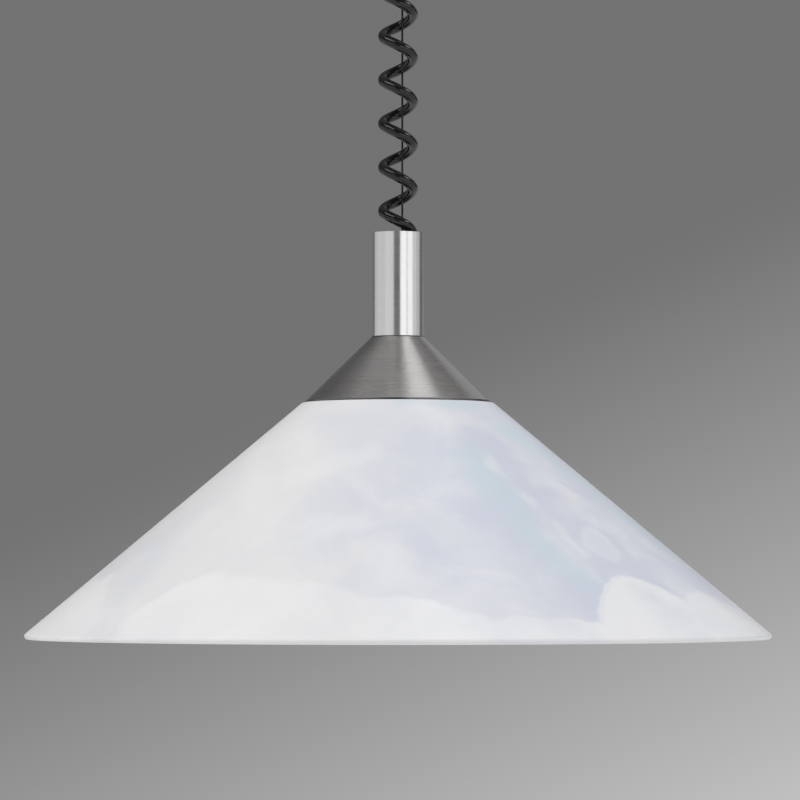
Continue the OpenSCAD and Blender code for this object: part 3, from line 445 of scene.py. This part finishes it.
BANK_JOIN = 0.12  # how softly two banks run into one


def on_shade(place):
    """A place on the outer face of the glass cone."""
    direction, share = place
    radius = shade_r + (GLASS_TOP_R - shade_r) * share
    angle = math.radians(direction)
    return Vector((radius * math.sin(angle), -radius * math.cos(angle), glass_low.z + share * shade_height))


def cloudy_glass(name):
    """White opal glass with drifting clouds: pale round banks above the rim, veils, streaks and swirls."""
    finish = Finish(name, roughness=0.32, subsurface_weight=0.12, subsurface_scale=3 * MM)
    finish.set("Subsurface radius", (1.0, 1.0, 1.1))
    drift = finish.add("TexNoise", {"Vector": finish.place, "Scale": 13.0, "Detail": 4.0, "Roughness": 0.5})
    offset = finish.add("VectorMath", {0: drift.outputs["Color"], 1: (0.5, 0.5, 0.5)}, operation="SUBTRACT")
    offset = finish.add("VectorMath", {0: offset.outputs[0], "Scale": DRIFT}, operation="SCALE")
    drifted = finish.add("VectorMath", {0: finish.place, 1: offset.outputs[0]}, operation="ADD").outputs[0]
    right = finish.add("SeparateXYZ", {"Vector": drifted}).outputs["X"]

    tint = finish.noise(drifted, scale=9, detail=5, roughness=0.5, distortion=0.5)
    # the glass is darker, greyer and more lavender towards the right
    side = finish.between(right, -90 * MM, 90 * MM, 0.0, 0.9)
    tinted = finish.math("ADD", side, finish.between(tint, 0.38, 0.66, -0.25, 0.35), clamp=True)
    color = finish.mix(tinted, GLASS_GREY, GLASS_LAVENDER)
    mottle = finish.noise(drifted, scale=26, detail=6, roughness=0.55, distortion=0.5)
    color = finish.mix(finish.between(mottle, 0.42, 0.72, 0.0, 0.42), color, GLASS_WHITE)

    for start, end, half in STREAKS:
        reach = finish.reach(drifted, on_shade(start), on_shade(end))
        color = finish.mix(finish.between(reach, 0.1 * half, 1.6 * half, 0.5, 0.0), color, GLASS_TEAL)
    for start, end, half in VEILS:
        reach = finish.reach(drifted, on_shade(start), on_shade(end))
        color = finish.mix(finish.between(reach, 0.2 * half, 1.8 * half, 0.36, 0.0), color, GLASS_WHITE)

    depth = FAR_OUT
    for place, wide, high in CLOUDS:
        here = finish.depth_in(drifted, on_shade(place), (1 / wide, 1 / wide, 1 / high))
        depth = finish.add("Math", {0: here, 1: depth, 2: BANK_JOIN}, operation="SMOOTH_MIN").outputs[0]
    bank = finish.between(depth, 0.90, 1.02, 1.0, 0.0)
    rim = finish.math("ABSOLUTE", finish.math("SUBTRACT", depth, 0.97))
    ring = finish.between(rim, 0.0, 0.05, 1.0, 0.0)
    soft = finish.noise(drifted, scale=14, detail=4)
    bank = finish.math("MULTIPLY", bank, finish.between(soft, 0.34, 0.62, 0.4, 0.85))
    ring = finish.math("MULTIPLY", ring, finish.between(soft, 0.44, 0.6, 0.0, 0.3))
    color = finish.mix(bank, color, GLASS_WHITE)
    color = finish.mix(ring, color, GLASS_RING)
    for place, radius in SWIRLS:
        depth = finish.depth_in(drifted, on_shade(place), (1 / radius, 1 / radius, 1 / radius))
        color = finish.mix(finish.between(depth, 1.0, 1.6, 0.3, 0.0), color, GLASS_RING)
        color = finish.mix(finish.between(depth, 0.6, 1.2, 0.3, 0.0), color, GLASS_LAVENDER)

    finish.set("Base color", color)
    ripple = finish.noise(finish.place, scale=34, detail=2)
    finish.set("Normal", finish.bump(ripple, 0.25 * MM, 0.35))
    return finish.material


def stranded_wire(name, color):
    """Dark steel rope, with grime in patches. Its strands are in the shape."""
    finish = Finish(name, metallic=1.0)
    grime = finish.noise(finish.place, scale=700, detail=4)
    finish.set("Base color", finish.mix(finish.between(grime, 0.35, 0.7), color, lighter(color, 0.45)))
    finish.set("Roughness", finish.between(grime, 0.35, 0.7, 0.34, 0.55))
    return finish.material


BRUSHED_NICKEL = rgb(0.58, 0.565, 0.56)
NICKEL_LINES = 2600
FINISHES = {
    "brushed_nickel": brushed_metal("brushed_nickel", BRUSHED_NICKEL, 0.30, NICKEL_LINES),
    "satin_nickel": brushed_metal("satin_nickel", rgb(0.76, 0.755, 0.755), 0.22, 3400),
    "opal_glass": cloudy_glass("opal_glass"),
    "cord_pvc": cord_sheath("cord_pvc"),
    "steel_wire": stranded_wire("steel_wire", rgb(0.05, 0.05, 0.055)),
    "zinc_steel": plated_steel("zinc_steel", rgb(0.60, 0.61, 0.62), 0.32, 260),
    "cast_zinc": cast_metal("cast_zinc", rgb(0.50, 0.51, 0.52), 0.38),
    "spring_steel": plated_steel("spring_steel", rgb(0.16, 0.19, 0.27), 0.28, 130),
    "brass": turned_brass("brass", rgb(0.78, 0.58, 0.27)),
    "felt": brake_felt("felt", rgb(0.22, 0.13, 0.08)),
    "black_plastic": moulded_plastic("black_plastic", rgb(0.022, 0.022, 0.023), 0.42, 2400, 0.2),
    "white_plastic": moulded_plastic("white_plastic", rgb(0.76, 0.75, 0.70), 0.30, 1500, 0.03),
    "dark_rubber": gasket_rubber("dark_rubber", rgb(0.035, 0.035, 0.036), 0.75),
    "clear_rubber": gasket_rubber("clear_rubber", rgb(0.62, 0.60, 0.55), 0.55),
    "core_brown": moulded_plastic("core_brown", rgb(0.13, 0.055, 0.025), 0.36, 2600, 0.15),
    "core_blue": moulded_plastic("core_blue", rgb(0.03, 0.13, 0.42), 0.36, 2600, 0.12),
    "core_green": striped_core("core_green", rgb(0.10, 0.33, 0.05), rgb(0.75, 0.62, 0.03)),
}
# heights of the cap's painted shade: a thin dark band at its foot, by the glass, and at its top, by the tube
PAINTED_SHADE_FOOT = 0.8 * MM
PAINTED_SHADE_TOP = 0.7 * MM
CAP_LOW, CAP_HIGH = (corner.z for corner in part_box("cap"))
CAP_FINISH = brushed_metal("cap_nickel", BRUSHED_NICKEL, 0.28, NICKEL_LINES, 0.03,
                           (CAP_LOW + PAINTED_SHADE_FOOT, CAP_HIGH - PAINTED_SHADE_TOP))


def dress_nodes():
    """Each CAD node takes the finish of its own material slot. The cap's has painted shade along its foot and
    its top.
    """
    for row in frame["record"]["subparts"]:
        mesh = frame["nodes"][row["node"]].data
        mesh.materials.clear()
        mesh.materials.append(CAP_FINISH if row["node"] == "cap" else FINISHES[row["material_slot"]])


SHARP_ANGLE = 30  # degrees
TUBE_EDGE = 0.45 * MM
CAP_EDGE = 0.25 * MM


def soften_edges(node, width):
    """Rounds the sharp edges of a turned part, as its burrs are taken off."""
    bevel = frame["nodes"][node].modifiers.new("soft_edges", "BEVEL")
    bevel.width = width
    bevel.segments = 3
    bevel.limit_method = "ANGLE"
    bevel.angle_limit = math.radians(SHARP_ANGLE)
    bevel.harden_normals = True


# ---------------------------------------------------------------- cord and wire

ROUND = round_profile(20)
STRANDS = 6
STRAND_STEPS = 3
STRAND_GROOVE = 0.12
WIRE_LAY = 9 * MM


def strand_profile():
    """A round wire's outline with a groove between its strands."""
    count = STRANDS * STRAND_STEPS
    outline = []
    for k in range(count):
        angle = 2 * math.pi * k / count
        radius = 1 - STRAND_GROOVE * (1 - math.cos(STRANDS * angle))
        outline.append((radius * math.cos(angle), radius * math.sin(angle)))
    return outline


def curly_route(per_curl=48, ease_steps=8, end_steps=4):
    """Straight end, eased start, curls, eased end and straight end, from the canopy down."""
    ease_rate = 2 * EASE_TURN * COIL_PITCH / 360
    ease_drop = ease_rate + EASE_EXTRA / 2
    helix_turn = 360 * CURLS - 2 * EASE_TURN
    helix_drop = coil_top - coil_bottom - 2 * ease_drop
    steps = round(per_curl * helix_turn / 360)

    def eased(v):
        return EASE_TURN * v * v, (ease_rate + EASE_EXTRA) * v - EASE_EXTRA * v * v / 2

    stations = [(0, cord_top + (coil_top - cord_top) * i / end_steps) for i in range(end_steps)]
    for i in range(ease_steps):
        turn, drop = eased(i / ease_steps)
        stations.append((turn, coil_top - drop))
    for i in range(steps + 1):
        stations.append((EASE_TURN + helix_turn * i / steps, coil_top - ease_drop - helix_drop * i / steps))
    for i in range(ease_steps - 1, -1, -1):
        turn, drop = eased(i / ease_steps)
        stations.append((360 * CURLS - turn, coil_bottom + drop))
    for i in range(1, end_steps + 1):
        stations.append((0, coil_bottom + (cord_bottom - coil_bottom) * i / end_steps))
    return [Vector((COIL_R * math.cos(math.radians(a)), COIL_R * math.sin(math.radians(a)), z))
            for a, z in stations]


def add_curly_cord():
    route = curly_route()
    cord = sweep("curly_cord_sheath", route, CORD_R, ROUND, FINISHES["cord_pvc"], side=(1, 0, 0))
    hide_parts("curly_cord")
    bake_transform(cord)


def add_suspension_wire():
    step = 0.6 * MM
    steps = round((wire_top - wire_bottom) / step)
    route = [Vector((WIRE_X, 0, wire_top + (wire_bottom - wire_top) * i / steps)) for i in range(steps + 1)]
    wire = sweep("suspension_wire_rope", route, WIRE_R, strand_profile(), FINISHES["steel_wire"], WIRE_LAY)
    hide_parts("suspension_wire")
    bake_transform(wire)


def add_winding():
    per_turn = 200
    steps = round(per_turn * WIND_TURNS)
    route = []
    for i in range(steps + 1):
        turn = i / per_turn
        angle = 2 * math.pi * turn
        route.append(Vector((AXLE_X + WIND_R * math.cos(angle), WIND_STEP * turn,
                             AXLE_Z + WIND_R * math.sin(angle))))
    winding = sweep("wire_winding_rope", route, WIRE_R, strand_profile(), FINISHES["steel_wire"], WIRE_LAY)
    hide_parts("wire_winding")
    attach(winding, "reel")


# Routes inside canopy and tube, in millimetres
CORD_X = 8.5  # where the cord leaves and enters, on the curls' circle
UPPER_SPLIT = (33, 0, -28)
UPPER_TAIL = ((CORD_X, 0, -80), (CORD_X, 0, -72), (CORD_X, 0, -64), (CORD_X, 0, -60), (12, 0, -53),
              (19, 0, -47), (27, 0, -42), (32.3, 0, -37), (33, 0, -32), UPPER_SPLIT)
CORE_PLACES = {"live": (-0.65, -1.13, 0), "neutral": (-0.65, 1.13, 0), "earth": (1.3, 0, 0)}
LINE_CORES = (("live", -1, "core_brown"), ("neutral", 1, "core_blue"))  # name, side, finish
INTO_SHEATH = (0, 0, 1)  # how deep a core shows inside the cut sheath
POLE_GAP = 8
BLOCK_END_X = 27
LEAD_Z = -8.6
TERMINAL_Y = 7


def plus(a, b):
    return tuple(x + y for x, y in zip(a, b))


def minus(a, b):
    return tuple(x - y for x, y in zip(a, b))


def upper_core_route(pole, place):
    start = plus(UPPER_SPLIT, place)
    y = pole * POLE_GAP
    return (minus(start, INTO_SHEATH), plus(start, (0, 0, 2)), plus(start, (0, pole * 1.5, 7)),
            (BLOCK_END_X + 5, pole * (POLE_GAP - 1.5), LEAD_Z - 4), (BLOCK_END_X + 2.5, y, LEAD_Z - 0.6),
            (BLOCK_END_X, y, LEAD_Z), (BLOCK_END_X - 3.5, y, LEAD_Z))


def add_lead(name, node, points, radius, finish, body):
    lead = sweep(name, smooth_route(millimetres(points)), radius, ROUND, FINISHES[finish], side=(0, 1, 0))
    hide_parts(node)
    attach(lead, body)


def add_upper_leads():
    add_lead("upper_cord_end", "upper_cord_tail", UPPER_TAIL, CORD_R, "cord_pvc", "ceiling")
    for name, pole, finish in LINE_CORES + (("earth", 0, "core_green"),):
        route = upper_core_route(pole, CORE_PLACES[name])
        add_lead(f"upper_{name}_lead", f"upper_{name}_core", route, CORE_R, finish, "ceiling")


def add_lower_leads():
    nipple_top, nipple_bottom = node_high("nipple").z / MM, node_low("nipple").z / MM
    terminal_top = node_high("holder_contacts").z / MM
    clamp_low, clamp_high = node_low("lower_cord_clamp").z / MM, node_high("lower_cord_clamp").z / MM
    split = (CORD_X, 0, node_low("lower_cord_tail").z / MM)
    tail = ((CORD_X, 0, cord_bottom / MM), (CORD_X, 0, clamp_high), (CORD_X, 0, clamp_low), split)
    add_lead("lower_cord_end", "lower_cord_tail", tail, CORD_R, "cord_pvc", "lamp")
    for name, side, finish in LINE_CORES:
        start = plus(split, CORE_PLACES[name])
        route = (plus(start, INTO_SHEATH), minus(start, (0, 0, 2)), plus(split, (-2.5, side * 1.2, -5)),
                 (3, side * 1.3, nipple_top + 2.5), (1, side * 1.3, nipple_top - 2),
                 (0.6, side * 1.3, nipple_bottom + 4), (0.8, side * 1.6, nipple_bottom - 1),
                 (0.3, side * (TERMINAL_Y - 0.6), terminal_top + 3), (0, side * TERMINAL_Y, terminal_top))
        add_lead(f"lower_{name}_lead", f"lower_{name}_core", route, CORE_R, finish, "lamp")
    earth_x = 10.9
    screw_top = node_high("earth_tag_screw").z / MM
    start = plus(split, CORE_PLACES["earth"])
    route = (plus(start, INTO_SHEATH), minus(start, (0, 0, 2)), (earth_x - 1.6, 0, screw_top + 5.5),
             (earth_x - 1, 0, screw_top + 2.5))
    add_lead("lower_earth_lead", "lower_earth_core", route, CORE_R, "core_green", "lamp")


# ---------------------------------------------------------------- springs and threads


def add_mainspring():
    """Flat strip wound in a spiral, with slightly rounded edges."""
    low, high = node_low("mainspring").y, node_high("mainspring").y
    soft = 0.12 * MM
    outline = ((0, low + soft), (soft, low), (STRIP_T - soft, low), (STRIP_T, low + soft),
               (STRIP_T, high - soft), (STRIP_T - soft, high), (soft, high), (0, high - soft))
    per_turn = 72
    steps = per_turn * SPRING_TURNS
    count = len(outline)
    points, faces = [], []
    for i in range(steps + 1):
        angle = 2 * math.pi * i / per_turn
        radius = SPRING_IN_R + (SPRING_OUT_R - SPRING_IN_R) * i / steps
        for out, y in outline:
            points.append(Vector((AXLE_X + (radius + out) * math.cos(angle), y,
                                  AXLE_Z - (radius + out) * math.sin(angle))))
    for i in range(steps):
        for k in range(count):
            a, b = i * count + k, i * count + (k + 1) % count
            faces.append((a, b, b + count, a + count))
    faces.append(tuple(range(count - 1, -1, -1)))
    faces.append(tuple(range(steps * count, steps * count + count)))
    spring = add_mesh("mainspring_strip", points, faces, FINISHES["spring_steel"])
    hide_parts("mainspring")
    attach(spring, "reel")


def add_brake_spring():
    plate_y = node_low("brake_plate").y
    nut_y = node_high("brake_nut").y
    start = nut_y + BRAKE_PLAY + BRAKE_WIRE_R
    end = plate_y - BRAKE_PLAY - BRAKE_WIRE_R
    per_turn = 32
    steps = per_turn * BRAKE_COILS
    route = []
    for i in range(steps + 1):
        angle = 2 * math.pi * i / per_turn
        route.append(Vector((AXLE_X + BRAKE_COIL_R * math.cos(angle), start + (end - start) * i / steps,
                             BRAKE_Z + BRAKE_COIL_R * math.sin(angle))))
    spring = sweep("brake_spring_coil", route, BRAKE_WIRE_R, round_profile(12), FINISHES["zinc_steel"])
    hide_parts("brake_spring")
    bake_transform(spring)


def threaded_tube(name, low, high, outer, inner, pitch, material, sides, rows_per_pitch):
    """A tube about the lamp's axis. outer and inner give the radius for a share of the thread's turn."""
    rows = max(2, round((high - low) / pitch * rows_per_pitch))
    points, faces = [], []
    for skin in (outer, inner):
        for j in range(rows + 1):
            z = low + (high - low) * j / rows
            fade = min(1, (z - low) / (THREAD_RUNOUT * pitch), (high - z) / (THREAD_RUNOUT * pitch))
            for k in range(sides):
                share = k / sides
                radius = skin((z / pitch - share) % 1, max(0, fade))
                angle = 2 * math.pi * share
                points.append(Vector((radius * math.cos(angle), radius * math.sin(angle), z)))
    n, layer = sides, (rows + 1) * sides
    for j in range(rows):
        for k in range(n):
            a, b = j * n + k, j * n + (k + 1) % n
            faces.append((a, b, b + n, a + n))
            faces.append((layer + a, layer + a + n, layer + b + n, layer + b))
    for k in range(n):
        b = (k + 1) % n
        top = rows * n
        faces.append((k, layer + k, layer + b, b))
        faces.append((top + k, top + b, layer + top + b, layer + top + k))
    return add_mesh(name, points, faces, material)


def add_screw_shell():
    """The lamp thread rolled in the sheet of the shell."""
    low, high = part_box("screw_shell")
    out_r = high.x
    depth, sheet = 1.1 * MM, 0.35 * MM
    within_box = 0.02 * MM

    def wave(turn, fade):
        return out_r - depth * fade * (0.5 + 0.5 * math.cos(2 * math.pi * turn)) - within_box

    shell = threaded_tube("screw_shell_thread", low.z, high.z, wave, lambda t, f: wave(t, f) - sheet,
                          SHELL_PITCH, FINISHES["brass"], 96, 12)
    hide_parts("screw_shell")
    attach(shell, "lamp")


def add_nipple():
    """Hollow nipple with its fine outer thread."""
    low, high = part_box("nipple")
    out_r, bore_r = high.x, 3.5 * MM
    depth = 0.5 * MM

    def ridge(turn, fade):
        return out_r - depth * (1 - fade * (1 - abs(2 * turn - 1)))

    nipple = threaded_tube("nipple_thread", low.z, high.z, ridge, lambda t, f: bore_r, NIPPLE_PITCH,
                           FINISHES["zinc_steel"], 48, 6)
    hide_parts("nipple")
    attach(nipple, "lamp")


# ---------------------------------------------------------------- camera, stage and light

CAMERA_AT = Vector((0, -2.5677, -0.5407))
CAMERA_PITCH = 2.195  # degrees up
AXIS_PIXEL = 398.0  # where the lamp's axis lies across the frame
FRAME_PIXELS = 800
LENS_MM = 200
SENSOR_MM = 36
PIXELS_PER_RADIAN = LENS_MM / SENSOR_MM * FRAME_PIXELS

FLOOR_Z = -2.5
WALL_Y = 7.0
WALL_LEFT_GREY = 114 / 255
WALL_PER_PIXEL_RIGHT = 0.055 / 255
WALL_PER_PIXEL_DOWN = 0.126 / 255
WALL_START = 68.2 / 255
WALL_SOFT_START = 0.02
WALL_MOST = 0.34  # the most that the wall's grey gains
WALL_EVEN_FROM = 1.0  # metres to the right, outside the frame
WALL_DIFFUSE = 0.3
WALL_HIGH_LEFT = -0.07  # change of the wall's brightness above the frame, on the left
WALL_HIGH_RIGHT = 0.20  # and on the right
WALL_TURNS = (0.6, 2.0)  # metres to the right between which the one becomes the other
WALL_HIGH = (0.8, 1.8)  # metres above the ceiling's plane between which that change sets in
DISPLAY_GAMMA = 2.2
HORIZON_PIXEL = 570.4
FLOOR_DARK = rgb(0.80, 0.795, 0.79)
FLOOR_PALE = rgb(0.84, 0.835, 0.83)
VIEW_DEPTH = 60


def add_camera():
    data = bpy.data.cameras.new("camera")
    data.lens = LENS_MM
    data.sensor_width = SENSOR_MM
    data.clip_end = VIEW_DEPTH
    camera = bpy.data.objects.new("camera", data)
    bpy.context.scene.collection.objects.link(camera)
    yaw = math.atan((FRAME_PIXELS / 2 - AXIS_PIXEL) / PIXELS_PER_RADIAN)
    camera.location = CAMERA_AT
    camera.rotation_euler = (math.radians(90 + CAMERA_PITCH), 0, -yaw)
    bpy.context.scene.camera = camera


def stage_material(name):
    material = bpy.data.materials.new(name)
    material.use_nodes = True
    tree = material.node_tree
    tree.nodes.clear()
    return material, tree


def link_nodes(tree, kind, inputs, **settings):
    made = tree.nodes.new("ShaderNode" + kind)
    for key, value in settings.items():
        setattr(made, key, value)
    for key, value in inputs.items():
        if isinstance(value, bpy.types.NodeSocket):
            tree.links.new(value, made.inputs[key])
        else:
            made.inputs[key].default_value = value
    return made


def backdrop_grey(tree, place):
    """The backdrop's grey as the eye sees it: even at the top left, paler to the lower right."""
    pixels_per_metre = PIXELS_PER_RADIAN / (WALL_Y - CAMERA_AT.y)
    axes = link_nodes(tree, "SeparateXYZ", {"Vector": place})
    right = WALL_PER_PIXEL_RIGHT * pixels_per_metre
    down = WALL_PER_PIXEL_DOWN * pixels_per_metre
    constant = (WALL_PER_PIXEL_RIGHT * FRAME_PIXELS / 2 + WALL_PER_PIXEL_DOWN * HORIZON_PIXEL
                + down * CAMERA_AT.z - WALL_START)

    def math_node(operation, *values):
        return link_nodes(tree, "Math", dict(enumerate(values)), operation=operation).outputs[0]

    def smooth_step(value, start, end, low=0.0, high=1.0):
        inputs = {"Value": value, "From Min": start, "From Max": end, "To Min": low, "To Max": high}
        return link_nodes(tree, "MapRange", inputs, interpolation_type="SMOOTHSTEP").outputs["Result"]

    within = math_node("MINIMUM", axes.outputs["X"], WALL_EVEN_FROM)
    across = math_node("MULTIPLY_ADD", within, right, constant)
    rise = math_node("MULTIPLY_ADD", axes.outputs["Z"], -down, across)
    above = math_node("SMOOTH_MAX", rise, 0.0, WALL_SOFT_START)
    below = math_node("MINIMUM", above, WALL_MOST)
    grey = math_node("ADD", below, WALL_LEFT_GREY)
    linear = math_node("POWER", grey, DISPLAY_GAMMA)
    beyond = smooth_step(axes.outputs["X"], *WALL_TURNS, WALL_HIGH_LEFT, WALL_HIGH_RIGHT)
    high = smooth_step(axes.outputs["Z"], *WALL_HIGH)
    return math_node("MULTIPLY_ADD", high, beyond, linear)


def add_backdrop():
    """A plain grey wall far behind the lamp. The camera and the metal see its own grey."""
    half_width, top = 7.0, 6.5
    points = [(-half_width, WALL_Y, FLOOR_Z), (half_width, WALL_Y, FLOOR_Z), (half_width, WALL_Y, top),
              (-half_width, WALL_Y, top)]
    material, tree = stage_material("backdrop_paper")
    place = link_nodes(tree, "TexCoord", {}).outputs["Object"]
    grey = backdrop_grey(tree, place)
    seen = link_nodes(tree, "Emission", {"Color": rgb(1, 1, 1), "Strength": grey})
    lit = link_nodes(tree, "BsdfDiffuse", {"Color": rgb(WALL_DIFFUSE, WALL_DIFFUSE, WALL_DIFFUSE)})
    path = link_nodes(tree, "LightPath", {})
    direct = link_nodes(tree, "Math", {0: path.outputs["Is Camera Ray"], 1: path.outputs["Is Glossy Ray"]},
                        operation="MAXIMUM")
    share = link_nodes(tree, "Math", {0: direct.outputs[0], 1: path.outputs["Is Transmission Ray"]},
                       operation="MAXIMUM")
    mixed = link_nodes(tree, "MixShader", {0: share.outputs[0], 1: lit.outputs[0], 2: seen.outputs[0]})
    link_nodes(tree, "OutputMaterial", {"Surface": mixed.outputs[0]})
    wall = add_mesh("backdrop", points, [(0, 1, 2, 3)], material, smooth=False)
    wall.visible_diffuse = False


def add_floor():
    """Plain pale floor, well below the lamp."""
    half = 12.0
    points = [(-half, -half, FLOOR_Z), (half, -half, FLOOR_Z), (half, half, FLOOR_Z), (-half, half, FLOOR_Z)]
    material, tree = stage_material("pale_floor")
    place = link_nodes(tree, "TexCoord", {}).outputs["Object"]
    cloud = link_nodes(tree, "TexNoise", {"Vector": place, "Scale": 2.0, "Detail": 4.0})
    shades = {FACTOR: cloud.outputs["Fac"], COLOR_A: FLOOR_DARK, COLOR_B: FLOOR_PALE}
    color = link_nodes(tree, "Mix", shades, data_type="RGBA")
    lit = link_nodes(tree, "BsdfDiffuse", {"Color": color.outputs[MIXED]})
    link_nodes(tree, "OutputMaterial", {"Surface": lit.outputs[0]})
    floor = add_mesh("floor", points, [(0, 1, 2, 3)], material, smooth=False)


SOFTBOXES = (  # name, azimuth, elevation, distance, width, height, radiance
    ("key_right_near", 24.5, 4, 2.4, 1.24, 0.85, 1.25),
    ("key_right_far", 55, 4, 2.4, 1.15, 0.85, 1.15),
    ("side_right", 80, 4, 2.4, 0.89, 0.85, 0.60),
    ("side_right_back", 101.5, 4, 2.4, 0.89, 0.85, 0.42),
    ("panel_left_near", -38, 4, 2.6, 1.83, 0.95, 0.66),
    ("panel_left_far", -80.5, 4, 2.6, 2.26, 0.95, 0.56),
    ("panel_left_back", -115, 4, 2.6, 1.01, 0.95, 0.46),
    ("glint_left", -46, 52, 1.8, 1.50, 0.36, 4.3),
    ("glint_right", 84, 40, 1.8, 0.90, 0.36, 4.5),
)
OVERHEAD_AT = (0.29, 0.13, 1.15)
LIT_POINT = Vector((0, 0, -0.42))  # what the softboxes face


def soft_light(name, width, height, radiance):
    """A rectangular soft light that faces down."""
    data = bpy.data.lights.new(name, "AREA")
    data.shape = "RECTANGLE"
    data.size = width
    data.size_y = height
    data.energy = radiance * math.pi * width * height
    light = bpy.data.objects.new(name, data)
    bpy.context.scene.collection.objects.link(light)
    return light


def add_lights():
    """Softboxes round the lamp, azimuth 0 on the camera's side and 90 to the right, and one above it."""
    for name, azimuth, elevation, distance, width, height, radiance in SOFTBOXES:
        a, e = math.radians(azimuth), math.radians(elevation)
        out = Vector((math.sin(a) * math.cos(e), -math.cos(a) * math.cos(e), math.sin(e)))
        light = soft_light(name, width, height, radiance)
        light.location = LIT_POINT + distance * out
        light.rotation_euler = (-out).to_track_quat("-Z", "Y").to_euler()
    overhead = soft_light("overhead", 0.86, 0.56, 1.10)
    overhead.location = OVERHEAD_AT


FILL = 0.88
FILL_RIGHT = -0.20  # change of the fill light towards the right
FILL_BACK = 0.46  # and towards the back
ROOM_DIM = 0.13  # what mirror rays see round the lamp
ROOM_ABOVE = 0.26  # and straight above it
ROOM_PALER_FROM = 0.6  # the upward share of a ray's direction
WORLD_SEEN = 0.30  # what the camera sees beyond wall and floor


def set_world():
    """Soft fill light, stronger from the left and the back. Mirror rays see a dim room, paler overhead."""
    world = bpy.data.worlds.new("studio")
    bpy.context.scene.world = world
    world.use_nodes = True
    tree = world.node_tree
    tree.nodes.clear()
    direction = link_nodes(tree, "TexCoord", {}).outputs["Generated"]
    axes = link_nodes(tree, "SeparateXYZ", {"Vector": direction})
    across = link_nodes(tree, "Math", {0: axes.outputs["X"], 1: FILL_RIGHT, 2: FILL},
                        operation="MULTIPLY_ADD")
    fill = link_nodes(tree, "Math", {0: axes.outputs["Y"], 1: FILL_BACK, 2: across.outputs[0]},
                      operation="MULTIPLY_ADD")
    brightness = {"Value": axes.outputs["Z"], "From Min": ROOM_PALER_FROM,
                  "To Min": ROOM_DIM, "To Max": ROOM_ABOVE}
    room = link_nodes(tree, "MapRange", brightness, interpolation_type="SMOOTHSTEP")
    path = link_nodes(tree, "LightPath", {})
    sources = {0: path.outputs["Is Glossy Ray"], 2: fill.outputs[0], 3: room.outputs[0]}
    light = link_nodes(tree, "Mix", sources, data_type="FLOAT")
    seen = link_nodes(tree, "Mix", {0: path.outputs["Is Camera Ray"], 2: light.outputs[0], 3: WORLD_SEEN},
                      data_type="FLOAT")
    background = link_nodes(tree, "Background", {"Color": rgb(1, 1, 1), "Strength": seen.outputs[0]})
    link_nodes(tree, "OutputWorld", {"Surface": background.outputs[0]})


# ---------------------------------------------------------------- the scene

add_camera()
add_curly_cord()
add_suspension_wire()
dress_nodes()
soften_edges("lamp_tube", TUBE_EDGE)
soften_edges("cap", CAP_EDGE)
add_winding()
add_upper_leads()
add_lower_leads()
add_mainspring()
add_brake_spring()
add_screw_shell()
add_nipple()
add_backdrop()
add_floor()
add_lights()
set_world()

bpy.context.scene.view_settings.view_transform = "Standard"
